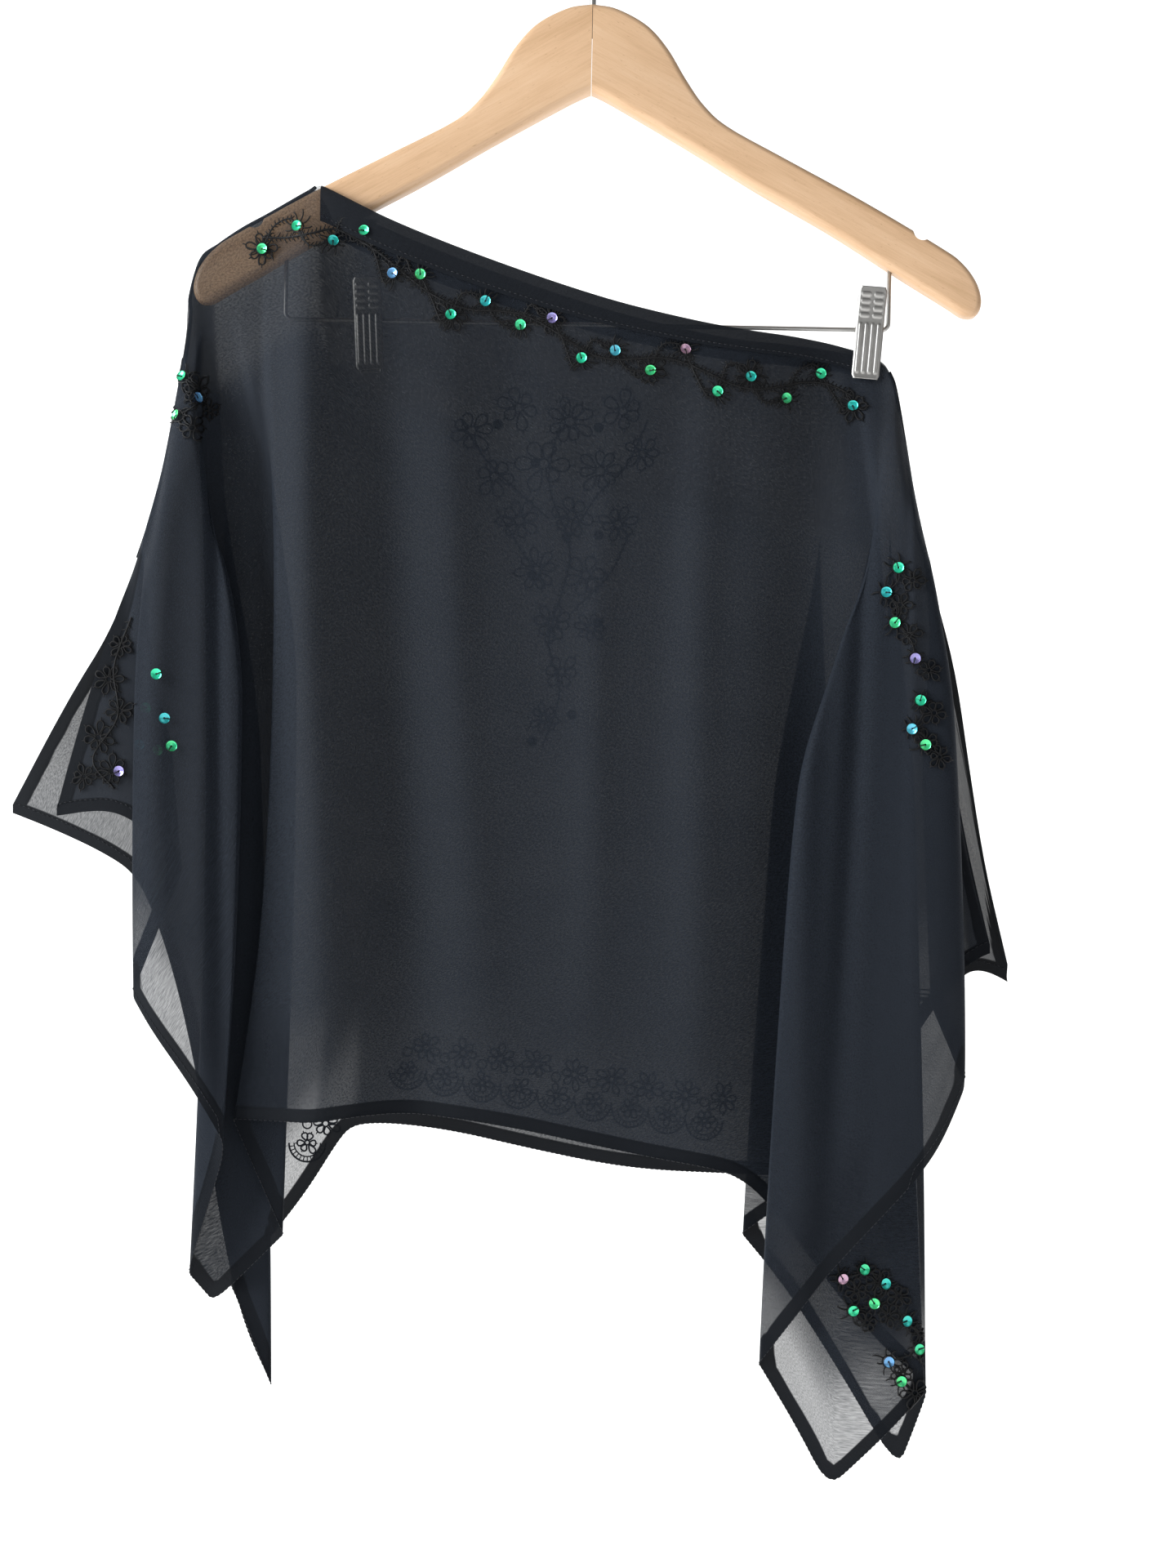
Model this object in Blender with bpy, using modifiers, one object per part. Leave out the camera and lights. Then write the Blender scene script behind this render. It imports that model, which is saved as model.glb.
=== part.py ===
"""A sheer poncho on a wooden clip hanger, made of solids.

The garment is two wide panels of thin cloth. Both hang from the same shoulder lines, which are
draped over the left arm of the hanger and gripped by a clip at the right, and both fall in deep
folds past the ends of the hanger. Lengths in the tables are millimetres, and the origin is the
inside top of the hook, where a rail carries the hanger. X runs to the right, Y away from the
front of the garment, and Z up.
"""
import math
from collections import namedtuple

import bmesh
import bpy
import numpy as np

MM = 0.001
GAP = 0.3                     # air between pieces that touch on the real garment

# Cloth
WALL = 1.0                    # thickness of a cloth wall
SEAM_HALF = (WALL + GAP) / 2  # each panel's middle surface lies this far from a seam
PUFF_LEFT = 7.4               # how far a panel stands off the seam where it rounds the wooden arm
PUFF_RIGHT = 2.5              # the same at the right, where the seam hangs free
PUFF_DROP = 7.0               # the height in which it does so
BAND_WIDTH = 20.0             # turned band along the neck, at its left end
BAND_NARROW = 0.55            # share of that width left at the right end
BAND_ROWS = (0.0, 1.5, 4.0, 8.0, 14.0, BAND_WIDTH)
LOWER_ROWS = 10               # rows of cloth below the band
SLIT_ROWS = 2.0               # how much further apart the band's rows are along a slit
DEPTH_REACH = 60.0            # least fall in which a fold takes its full depth
DEPTH_LEAD = 0.3              # that fall as a share of the one in which it closes sideways
SLIP_FADE = 60.0              # fall in which the spline's own course takes over from the top edge
CORNER_HALF = 2.5             # half the blunt end of a cloth corner
NOSE_ROUND = 1.3              # roundness of a fold, as a share of half its depth
NOSE_SHARE = 0.4              # the most of a leg that goes into one fold
SHORT_LEG = 9.0               # a leg shorter than this lies at a slant
SLANT = 0.36                  # how far its ends then move into their folds, as a share of the depth
RELAX_PASSES = 3
RELAX = 0.5                   # share of a kink that one pass takes out
RELAX_START = 25.0            # fall in which that share is reached

# Hanger
WOOD_THICKNESS = 12.0
WOOD_ROUND = 4.0              # radius on the edges of the wood
TILT = math.radians(1.07)     # the clipped side hangs lower
JOINT_X = 0.0
NOTCH_X = 188.0
NOTCH_RADIUS = 4.6
HOOK_WIRE = 1.8               # radius of the hook's wire
HOOK_INNER = 19.0             # inner radius of its bend
HOOK_SEAT = -62.0             # top of the wood
HOOK_DEPTH = 18.0             # how far the wire goes into the wood
BAR_WIRE = 1.2
BAR_X = 170.7
BAR_Z = -242.3
BAR_BEND = 4.0
BAR_TOP = -202.0              # upper ends of the bar, inside the wood
HOLE_ROOM = GAP               # play around a wire in its hole

# Clips
CLIP_RIGHT_X = 159.4
CLIP_LEFT_X = -123.4
CLIP_RIGHT_LEAN = math.radians(3.6)
CLIP_LEFT_LEAN = math.radians(-2.7)
CLIP_WIDTH = 15.3
CLIP_BACK_WIDTH = 12.6
CLIP_SHEET = 0.9
CLIP_EAR = 4.2                # radius of the ears that the bar passes through
CLIP_EAR_SHIFT = 1.0
SPRING_RADIUS = 2.9
SPRING_LENGTH = 8.6

ArmPoint = namedtuple("ArmPoint", "x z")
ARM_TOP = (ArmPoint(0, -62), ArmPoint(14, -64.5), ArmPoint(31, -73.5), ArmPoint(43, -86.5),
           ArmPoint(53.5, -103.5), ArmPoint(64, -118), ArmPoint(78, -130), ArmPoint(111, -147.5),
           ArmPoint(155, -170.5), ArmPoint(198, -195), ArmPoint(211, -204), ArmPoint(219.5, -215),
           ArmPoint(222.5, -226))
ARM_UNDER = (ArmPoint(219.8, -233.5), ArmPoint(212.5, -234.2), ArmPoint(202, -228), ArmPoint(176, -212.5),
             ArmPoint(136, -188), ArmPoint(95, -165.5),
             ArmPoint(54.5, -141.5), ArmPoint(14, -118.5), ArmPoint(0, -111.5))

ClipPoint = namedtuple("ClipPoint", "z y")
CLIP_PROFILE = (ClipPoint(22.5, 7.8), ClipPoint(14.0, 6.4), ClipPoint(4.0, 5.0), ClipPoint(-4.0, 4.8),
                ClipPoint(-24.0, 3.3), ClipPoint(-28.5, 3.3))

# The panels' top edges, from the left corner to the right one. Depth is Y.
EdgePoint = namedtuple("EdgePoint", "x z depth")
SLIT_LEFT_FRONT = (EdgePoint(-301, -516, -12), EdgePoint(-288, -469, -12), EdgePoint(-272, -419, -12))
SLIT_LEFT_BACK = (EdgePoint(-335, -515, 14), EdgePoint(-301, -455, 8), EdgePoint(-275, -417, -2))
SHOULDER_LEFT = (EdgePoint(-255, -374, -12), EdgePoint(-243, -332, -9), EdgePoint(-237.5, -304, -7),
                 EdgePoint(-230.5, -260, -4), EdgePoint(-228.7, -236, -1), EdgePoint(-229, -226, 0),
                 EdgePoint(-222.8, -205.2, 0), EdgePoint(-213, -197.2, 0), EdgePoint(-199, -187.8, 0),
                 EdgePoint(-184.3, -179.8, 0), EdgePoint(-160.5, -166.2, 0))
NECK_FRONT = (EdgePoint(-155.5, -165, -4), EdgePoint(-151.5, -167, -6.9), EdgePoint(-147, -170.3, -7.8),
              EdgePoint(-136, -176, -10), EdgePoint(-118, -185.5, -12),
              EdgePoint(-66, -206.5, -12.5), EdgePoint(3, -230, -12), EdgePoint(50.5, -241.5, -10),
              EdgePoint(82.5, -247, -7), EdgePoint(107, -249.5, -4), EdgePoint(124, -252, -1.8),
              EdgePoint(140, -255.5, -0.65), EdgePoint(160, -262, -0.65))
NECK_BACK = (EdgePoint(-155.5, -165, 4), EdgePoint(-151.5, -167.2, 6.9), EdgePoint(-147, -170.8, 7.8),
             EdgePoint(-137, -176, 10), EdgePoint(-119, -184, 12),
             EdgePoint(-67, -205, 12.5), EdgePoint(3, -229, 12), EdgePoint(51, -242, 10),
             EdgePoint(83, -249, 7), EdgePoint(107, -252, 4), EdgePoint(124, -255, 1.8),
             EdgePoint(140, -258, 0.65), EdgePoint(160, -262.5, 0.65))
SHOULDER_RIGHT = (EdgePoint(167.5, -271, 0), EdgePoint(171.5, -286, 0), EdgePoint(179.5, -335, 0),
                  EdgePoint(184, -364, 0), EdgePoint(190.5, -386, 0))
SLIT_RIGHT_FRONT = (EdgePoint(199, -475, -5), EdgePoint(204, -514, -7.5), EdgePoint(212, -553, -10),
                    EdgePoint(221, -593, -12))
SLIT_RIGHT_BACK = (EdgePoint(209, -453, 5), EdgePoint(213.5, -487, 9), EdgePoint(217, -519, 12),
                   EdgePoint(230, -571, 18), EdgePoint(240, -612, 20))

# The lines that the cloth falls along, in the order of the cloth from its left corner to its right.
# edge: where the line leaves the top edge, measured along it. spread: between the line's threads.
# x_top, x_mid, x_hem, z_hem: its course. side: the way a fold's nose points, 0 for a plain line,
# 2 for a line that ends in a corner. depth_in, depth_out: Y before and behind the nose.
# reach: the fall in which the fold closes up. hold: the fall before it starts.
Fall = namedtuple("Fall", "name edge spread x_top x_mid x_hem z_hem side depth_in depth_out reach hold")
PLAIN, NOSE_LEFT, NOSE_RIGHT, CORNER = 0, -1, 1, 2
FRONT_FALLS = (
    Fall("left_corner", 0, 0, -301, -300, -299, -520, PLAIN, -12, -12, 60, 0),
    Fall("left_flap_a", 49, 0, -288, -286, -285, -518.5, PLAIN, -12, -12, 60, 0),
    Fall("left_flap_b", 96, 0, -273, -265, -262, -510, PLAIN, -12, -12, 60, 0),
    Fall("left_fold_back", 128, 7, -240, -236, -229, -549, NOSE_RIGHT, -12, -19, 90, 0),
    Fall("left_fold_outer", 168, 9, -252, -256, -256, -618, NOSE_LEFT, -19, -27, 90, 0),
    Fall("left_fold_a", 209, 0, -236, -240, -240, -642, PLAIN, -29, -29, 120, 0),
    Fall("left_fold_b", 250, 0, -227, -219, -219, -670, PLAIN, -31, -31, 120, 0),
    Fall("left_fold_inner", 284, 7, -198, -194, -203, -702, NOSE_RIGHT, -29, -22, 200, 10),
    Fall("left_tail_outer", 327, 5, -222, -219, -227, -776, NOSE_LEFT, -22, -9, 200, 36),
    Fall("left_tail_corner", 337, 4, -216, -201, -214, -793, CORNER, -8, -8, 200, 36),
    Fall("left_tail_inner", 347, 5, -166, -167, -174, -754, NOSE_RIGHT, -9, -14, 220, 36),
    Fall("centre_left", 368, 6, -178, -176, -202, -688, NOSE_LEFT, -14, -20, 200, 34),
    Fall("centre_a", 390, 0, -160, -143, -162, -690, PLAIN, -20, -20, 120, 24),
    Fall("shoulder_end", 402, 0, -156, -138, -154, -689, PLAIN, -20, -20, 120, 24),
    Fall("neck_start", 411, 0, -150, -130, -146, -688, PLAIN, -19, -19, 120, 24),
    Fall("centre_b", 447, 0, -119, -104, -117, -684, PLAIN, -17, -17, 120, 0),
    Fall("centre_c", 503, 0, -67, -59, -69, -688, PLAIN, -13, -13, 120, 0),
    Fall("centre_d", 560, 0, -13, -13, -13, -701, PLAIN, -11, -11, 120, 0),
    Fall("centre_e", 616, 0, 41, 32, 32, -713, PLAIN, -12, -12, 120, 0),
    Fall("centre_f", 668, 0, 92, 69, 69, -716, PLAIN, -13, -13, 120, 0),
    Fall("right_inner_a", 703, 0, 124, 105, 98, -721, PLAIN, -12, -12, 120, 18),
    Fall("right_inner_b", 717, 0, 140, 139, 133, -800, PLAIN, -12, -12, 120, 26),
    Fall("right_tail_outer", 727.5, 1.8, 163, 173, 185, -838, NOSE_RIGHT, -12, -19, 240, 20),
    Fall("right_tail_a", 733, 0, 162.5, 160, 159, -868, PLAIN, -20, -20, 240, 20),
    Fall("right_tail_corner", 737, 1.5, 157, 136, 129, -892, CORNER, -20, -20, 240, 18),
    Fall("right_fold_inner", 744, 2.2, 151, 110, 90, -822, NOSE_LEFT, -20, -27, 220, 18),
    Fall("right_fold_a", 753, 0, 160, 136, 121, -777, PLAIN, -29, -29, 200, 12),
    Fall("right_fold_b", 764.8, 0, 169, 162, 157, -738, PLAIN, -31, -31, 200, 6),
    Fall("right_fold_c", 786, 0, 174, 182, 189, -712, PLAIN, -29, -29, 120, 0),
    Fall("right_fold_outer", 822, 9, 190, 195, 204, -667, NOSE_RIGHT, -27, -20, 120, 0),
    Fall("right_fold_back", 872, 8, 177, 181, 186, -624, NOSE_LEFT, -20, -12, 120, 0),
    Fall("right_flap", 960, 0, 199, 204, 207, -601, PLAIN, -12, -12, 60, 0),
    Fall("right_corner", 1077, 0, 221, 221, 220, -597, PLAIN, -12, -12, 60, 0),
)
BACK_FALLS = (
    Fall("left_corner", 1, 0, -335, -335, -334, -519, PLAIN, 14, 14, 60, 0),
    Fall("left_flap_a", 48, 0, -314, -308, -305, -530, PLAIN, 14, 14, 60, 0),
    Fall("left_flap_b", 112, 0, -280, -271, -269, -547, PLAIN, 16, 16, 60, 0),
    Fall("left_flap_c", 144, 0, -268, -264, -262, -557, PLAIN, 18, 18, 60, 0),
    Fall("left_side_a", 176, 0, -256, -252, -247, -592, PLAIN, 20, 20, 90, 0),
    Fall("left_side_b", 208, 0, -249, -243, -233, -650, PLAIN, 21, 21, 90, 0),
    Fall("left_side_c", 244, 0, -241, -232, -221, -722, PLAIN, 22, 22, 90, 0),
    Fall("left_side_d", 285, 0, -233, -219, -212, -812, PLAIN, 23, 23, 120, 20),
    Fall("left_tail_inner", 322, 7, -202, -191, -186, -851, NOSE_RIGHT, 23, 16, 220, 36),
    Fall("left_tail_outer", 354, 7, -216, -213, -209, -790, NOSE_LEFT, 16, 9, 220, 36),
    Fall("centre_a", 390, 0, -181, -172, -177, -751, PLAIN, 9, 9, 120, 30),
    Fall("centre_b", 413, 0, -160, -144, -157, -727, PLAIN, 10, 10, 120, 24),
    Fall("shoulder_end", 420, 0, -156, -139, -145, -698, PLAIN, 10, 10, 120, 24),
    Fall("neck_start", 429, 0, -150, -131, -136, -694, PLAIN, 10, 10, 120, 24),
    Fall("centre_c", 463, 0, -119, -107, -98, -696, PLAIN, 11, 11, 120, 0),
    Fall("centre_d", 519, 0, -67, -60, -51, -707, PLAIN, 12, 12, 120, 0),
    Fall("centre_e", 576, 0, -13, -9, -6, -720, PLAIN, 12, 12, 120, 0),
    Fall("centre_f", 632, 0, 41, 38, 40, -725, PLAIN, 11, 11, 120, 0),
    Fall("centre_g", 683, 0, 92, 75, 77, -724, PLAIN, 9, 9, 120, 0),
    Fall("right_inner_fold", 716, 4, 140, 134, 131, -727, NOSE_RIGHT, 8, 14, 240, 20),
    Fall("right_tail_inner", 733, 3, 126, 102, 84, -761, NOSE_LEFT, 14, 20, 240, 20),
    Fall("right_tail_a", 744, 0, 154, 128, 121, -799, PLAIN, 21, 21, 240, 20),
    Fall("right_tail_corner", 752, 3, 160, 161, 175, -899, CORNER, 21, 21, 240, 16),
    Fall("right_tail_outer", 763, 4, 176, 188, 193, -853, NOSE_RIGHT, 20, 26, 240, 10),
    Fall("right_side_fold", 790, 9, 172, 162, 153, -712, NOSE_LEFT, 26, 32, 260, 0),
    Fall("right_side_a", 840, 0, 188, 187, 186, -650, PLAIN, 32, 32, 160, 0),
    Fall("right_side_b", 886, 0, 197, 205, 214, -602, PLAIN, 28, 28, 90, 0),
    Fall("right_flap", 989, 0, 219, 226, 229, -611, PLAIN, 24, 24, 60, 0),
    Fall("right_corner", 1110, 0, 241, 240, 240, -617, PLAIN, 22, 22, 60, 0),
)

CLOTH_COLOUR = (0.018, 0.019, 0.022, 1.0)
BAND_COLOUR = (0.010, 0.010, 0.012, 1.0)
WOOD_COLOUR = (0.72, 0.47, 0.25, 1.0)
STEEL_COLOUR = (0.60, 0.59, 0.57, 1.0)


def clear_scene():
    for item in list(bpy.data.objects):
        bpy.data.objects.remove(item)


def collection(name):
    """Make a collection under the scene."""
    group = bpy.data.collections.new(name)
    bpy.context.scene.collection.children.link(group)
    return group


def material(name, colour, roughness, metallic=0.0):
    """A Principled material of one colour."""
    finish = bpy.data.materials.new(name)
    finish.use_nodes = True
    shader = finish.node_tree.nodes["Principled BSDF"]
    shader.inputs["Base Color"].default_value = colour
    shader.inputs["Roughness"].default_value = roughness
    shader.inputs["Metallic"].default_value = metallic
    finish.diffuse_color = colour
    return finish


def add_object(name, data, group, finish=None, parent=None):
    item = bpy.data.objects.new(name, data)
    group.objects.link(item)
    item.parent = parent
    if finish:
        data.materials.append(finish)
    return item


def as_cutter(item):
    """Hide a body that only shapes another."""
    item.hide_render = True
    item.display_type = "WIRE"
    return item


def boolean(item, other, operation):
    change = item.modifiers.new(operation.lower(), "BOOLEAN")
    change.operation = operation
    change.solver = "EXACT"
    change.object = other


def cylinder(name, radius, length, group, segments=20, finish=None, parent=None):
    """A round bar of the given length along Z, about its own origin."""
    shape = bmesh.new()
    bmesh.ops.create_cone(shape, cap_ends=True, segments=segments, radius1=radius * MM,
                          radius2=radius * MM, depth=length * MM)
    mesh = bpy.data.meshes.new(name)
    shape.to_mesh(mesh)
    shape.free()
    return add_object(name, mesh, group, finish, parent)


def smooth_curve(points, steps=12):
    """Points on a Catmull-Rom curve through the given ones, steps to each stretch."""
    given = np.asarray(points, float)
    ends = np.vstack([2 * given[0] - given[1], given, 2 * given[-1] - given[-2]])
    t = np.linspace(0, 1, steps, endpoint=False)[:, None]
    runs = []
    for a, b, c, d in zip(ends[:-3], ends[1:-2], ends[2:-1], ends[3:]):
        runs.append(0.5 * (2 * b + (c - a) * t + (2 * a - 5 * b + 4 * c - d) * t ** 2
                           + (3 * b - a - 3 * c + d) * t ** 3))
    return np.vstack(runs + [given[-1:]])


def smooth_step(t):
    t = np.clip(t, 0, 1)
    return t * t * (3 - 2 * t)


def eased(t):
    """From 0 to 1: it starts at once and ends gently."""
    t = np.clip(t, 0, 1)
    return (smooth_step(t) + t * (2 - t)) / 2


def wire(name, points, radius, group, finish, parent, resolution=2):
    """A round wire along the points, its ends closed."""
    path = bpy.data.curves.new(name, "CURVE")
    path.dimensions = "3D"
    path.bevel_depth = radius * MM
    path.bevel_resolution = resolution
    path.use_fill_caps = True
    line = path.splines.new("POLY")
    line.points.add(len(points) - 1)
    for point, place in zip(line.points, points):
        point.co = (place[0] * MM, place[1] * MM, place[2] * MM, 1)
    return add_object(name, path, group, finish, parent)


def arc(centre_x, centre_z, radius, start, end, steps):
    """Points of an arc in the XZ plane, its angles in degrees from +X."""
    angles = np.radians(np.linspace(start, end, steps + 1))
    return [(centre_x + radius * math.cos(a), 0, centre_z + radius * math.sin(a)) for a in angles]


def wood_blank(group):
    """The whole hanger body: its mirrored outline, as thick as the wood, with rounded edges."""
    right = smooth_curve(ARM_TOP + ARM_UNDER, 3)
    left = right[-2:0:-1] * (-1, 1)
    outline = np.vstack([right, left])
    ahead = np.roll(outline, -1, axis=0) - np.roll(outline, 1, axis=0)
    ahead /= np.linalg.norm(ahead, axis=1)[:, None]
    face = outline + WOOD_ROUND * np.stack([ahead[:, 1], -ahead[:, 0]], axis=1)
    shape = bpy.data.curves.new("wood_outline", "CURVE")
    shape.dimensions = "2D"
    shape.fill_mode = "BOTH"
    shape.extrude = (WOOD_THICKNESS / 2 - WOOD_ROUND) * MM
    shape.bevel_depth = WOOD_ROUND * MM
    shape.bevel_resolution = 2
    line = shape.splines.new("POLY")
    line.points.add(len(face) - 1)
    for point, (x, z) in zip(line.points, face):
        point.co = (x * MM, z * MM, 0, 1)
    line.use_cyclic_u = True
    blank = add_object("wood_outline", shape, group)
    blank.rotation_euler = (math.radians(90), 0, 0)
    bpy.context.view_layer.update()
    seen = blank.evaluated_get(bpy.context.evaluated_depsgraph_get())
    mesh = bpy.data.meshes.new_from_object(seen)
    mesh.transform(blank.matrix_world)
    bpy.data.objects.remove(blank)
    return mesh


def wood_half(name, blank, side, finish, group, parent):
    """One arm: the blank cut at the joint, a hair short of the other arm."""
    shape = bmesh.new()
    shape.from_mesh(blank)
    bmesh.ops.remove_doubles(shape, verts=shape.verts, dist=0.00001)
    plane = (JOINT_X + side * GAP / 2) * MM
    cut = bmesh.ops.bisect_plane(shape, geom=shape.verts[:] + shape.edges[:] + shape.faces[:],
                                 plane_co=(plane, 0, 0), plane_no=(-side, 0, 0), clear_outer=True)
    rim = [part for part in cut["geom_cut"] if isinstance(part, bmesh.types.BMEdge)]
    bmesh.ops.holes_fill(shape, edges=rim, sides=0)
    bmesh.ops.recalc_face_normals(shape, faces=shape.faces)
    mesh = bpy.data.meshes.new(name)
    shape.to_mesh(mesh)
    shape.free()
    return add_object(name, mesh, group, finish, parent)


def hook_points():
    """The wire's middle line: straight out of the wood, a reverse bend, then round over the rail."""
    radius = HOOK_INNER + HOOK_WIRE
    centre = -HOOK_INNER
    start = -58
    shank = [(0, 0, HOOK_SEAT - HOOK_DEPTH), (0, 0, HOOK_SEAT), (0, 0, HOOK_SEAT + 7)]
    turn = arc(0, centre, radius, start, 205, 22)
    lead = smooth_curve([shank[-1], (3.2, 0, HOOK_SEAT + 15), turn[0]], 4)[1:-1]
    tip = [(turn[-1][0] + 0.6, 0, turn[-1][2] - 4.0)]
    return shank + [tuple(place) for place in lead] + turn + tip


def bar_points():
    """The clip rail: a wire down from each arm, rounded into the straight bar."""
    bend = arc(BAR_X - BAR_BEND, BAR_Z + BAR_BEND, BAR_BEND, -90, 0, 5)
    right = bend + [(BAR_X, 0, BAR_TOP)]
    left = [(-x, y, z) for x, y, z in reversed(right)]
    return left + right


def make_hanger(group, cutters, tilt):
    wood = material("hanger_wood", WOOD_COLOUR, 0.42)
    steel = material("hanger_steel", STEEL_COLOUR, 0.3, 1.0)
    blank = wood_blank(group)
    bore = as_cutter(cylinder("hook_bore", HOOK_WIRE + HOLE_ROOM, 2 * HOOK_DEPTH + 1, cutters, 16, parent=tilt))
    bore.location = (0, 0, HOOK_SEAT * MM)
    for side, word in ((-1, "left"), (1, "right")):
        arm = wood_half(f"hanger_wood_{word}", blank, side, wood, group, tilt)
        boolean(arm, bore, "DIFFERENCE")
        seat = as_cutter(cylinder(f"bar_hole_{word}", BAR_WIRE + HOLE_ROOM, 30, cutters, 12, parent=tilt))
        seat.location = (side * BAR_X * MM, 0, (BAR_TOP + GAP - 15) * MM)
        boolean(arm, seat, "DIFFERENCE")
        notch = as_cutter(cylinder(f"notch_{word}", NOTCH_RADIUS, 2 * WOOD_THICKNESS, cutters, 20, parent=tilt))
        notch.rotation_euler = (math.radians(90), 0, 0)
        notch.location = (side * NOTCH_X * MM, 0, -188.0 * MM)
        boolean(arm, notch, "DIFFERENCE")
    wire("hook", hook_points(), HOOK_WIRE, group, steel, tilt)
    wire("clip_bar", bar_points(), BAR_WIRE, group, steel, tilt, 1)
    make_clip("clip_right", CLIP_RIGHT_X, CLIP_RIGHT_LEAN, steel, group, cutters, tilt)
    make_clip("clip_left", CLIP_LEFT_X, CLIP_LEFT_LEAN, steel, group, cutters, tilt)


def clip_plate(name, width, facing, steel, group, cutters, pivot, hole):
    """A pressed plate: the side profile as wide as the plate, with a round ear at each side."""
    rows = [(point.y * facing * MM, point.z * MM) for point in CLIP_PROFILE]
    half = width / 2 * MM
    places = [(x, y, z) for y, z in rows for x in (-half, half)]
    faces = [(2 * k, 2 * k + 1, 2 * k + 3, 2 * k + 2) for k in range(len(rows) - 1)]
    mesh = bpy.data.meshes.new(name)
    mesh.from_pydata(places, [], faces)
    plate = add_object(name, mesh, group, steel, pivot)
    sheet = plate.modifiers.new("sheet", "SOLIDIFY")
    sheet.thickness = CLIP_SHEET * MM
    sheet.offset = 0
    for side in (-1, 1):
        ear = as_cutter(cylinder(f"{name}_ear", CLIP_EAR, CLIP_SHEET, cutters, 16, parent=pivot))
        ear.rotation_euler = (0, math.radians(90), 0)
        ear.location = (side * (width / 2 - CLIP_SHEET) * MM, facing * CLIP_EAR_SHIFT * MM, 0)
        boolean(plate, ear, "UNION")
    boolean(plate, hole, "DIFFERENCE")


def make_clip(name, x, lean, steel, group, cutters, tilt):
    """A clip on the bar: two leaning plates, and the spring between their ears, around the bar."""
    hole = as_cutter(cylinder(f"{name}_hole", BAR_WIRE + HOLE_ROOM, 2 * CLIP_WIDTH, cutters, 12, parent=tilt))
    hole.rotation_euler = (0, math.radians(90), 0)
    hole.location = (x * MM, 0, BAR_Z * MM)
    pivot = bpy.data.objects.new(f"{name}_pivot", None)
    group.objects.link(pivot)
    pivot.parent = tilt
    pivot.location = (x * MM, 0, BAR_Z * MM)
    pivot.rotation_euler = (0, lean, 0)
    clip_plate(f"{name}_front", CLIP_WIDTH, -1, steel, group, cutters, pivot, hole)
    clip_plate(f"{name}_back", CLIP_BACK_WIDTH, 1, steel, group, cutters, pivot, hole)
    spring = cylinder(f"{name}_spring", SPRING_RADIUS, SPRING_LENGTH, group, 16, steel, tilt)
    spring.rotation_euler = hole.rotation_euler
    spring.location = hole.location
    boolean(spring, hole, "DIFFERENCE")


class Edge:
    """A panel's top edge, as a curve that is read by the distance along it."""

    def __init__(self, slit_left, shoulder_left, neck, shoulder_right, slit_right, facing):
        points = slit_left + shoulder_left + neck + shoulder_right + slit_right
        self.line = smooth_curve(points)
        self.run = np.concatenate([[0], np.cumsum(np.linalg.norm(np.diff(self.line, axis=0), axis=1))])
        steps = 12
        self.corners, self.depths = self.run[::steps], [point.depth for point in points]
        marks = np.cumsum([len(slit_left), len(shoulder_left), len(neck), len(shoulder_right)]) * steps
        self.seam_left = self.run[[marks[0], marks[1] - steps]]
        self.neck = self.run[[marks[1], marks[2] - steps]]
        self.seam_right = self.run[[marks[2], marks[3] - steps]]
        self.slits = self.run[[marks[0], marks[3] - steps]]
        self.facing = facing

    def on_seam(self, distance, ends, ease=12.0):
        """1 along a seam and 0 away from it, eased at its ends."""
        into = smooth_step((distance - ends[0] + ease) / ease)
        out = smooth_step((ends[1] + ease - distance) / ease)
        return into * out

    def at(self, distance):
        """X, Y, Z on the edge. Along the seams the two panels part by their walls and the gap."""
        x, z = (np.interp(distance, self.run, self.line[:, axis]) for axis in (0, 1))
        y = np.interp(distance, self.corners, self.depths)
        seam = np.maximum(self.on_seam(distance, self.seam_left), self.on_seam(distance, self.seam_right))
        return np.stack([x, y + self.facing * SEAM_HALF * seam, z], axis=-1)

    def puff(self, distance):
        """How far the panel stands off its top edge a little below it."""
        left = PUFF_LEFT * self.on_seam(distance, self.seam_left)
        past = (distance > self.seam_left[1]) & (distance < self.seam_left[1] + 40)
        short = PUFF_LEFT + SEAM_HALF - np.abs(np.interp(distance, self.corners, self.depths))
        left = np.where(past, np.maximum(short, 0), left)
        right = PUFF_RIGHT * self.on_seam(distance, self.seam_right)
        return self.facing * np.maximum(left, right)

    def row_scale(self, distance):
        """Scale of the upper rows: the neck band narrows to the right, and slits need wide rows."""
        along = smooth_step((distance - self.neck[0]) / (self.neck[1] - self.neck[0]))
        outside = np.maximum(self.slits[0] - distance, distance - self.slits[1])
        return 1 - (1 - BAND_NARROW) * along + SLIT_ROWS * smooth_step(outside / 20)


def fall_threads(fall):
    """The threads of one row of a table: place on the edge, shift and depth of each."""
    if fall.side == PLAIN:
        return [(fall.edge, 0, fall.depth_in)]
    half = fall.spread / 2
    shift = CORNER_HALF if fall.side == CORNER else 0
    return [(fall.edge - half, -shift, fall.depth_in), (fall.edge + half, shift, fall.depth_out)]


def nose_length(fall):
    """How far along its legs a fold stays round."""
    return NOSE_ROUND * abs(fall.depth_out - fall.depth_in) / 2 if abs(fall.side) == 1 else 0


def drops(length, scale):
    """Fall of each row below the top edge: the band's rows, then even steps to the hem."""
    upper = np.array(BAND_ROWS) * min(scale, length / (2 * BAND_WIDTH))
    steps = np.arange(1, LOWER_ROWS + 1) / LOWER_ROWS
    return np.concatenate([upper, upper[-1] + (length - upper[-1]) * steps])


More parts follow.
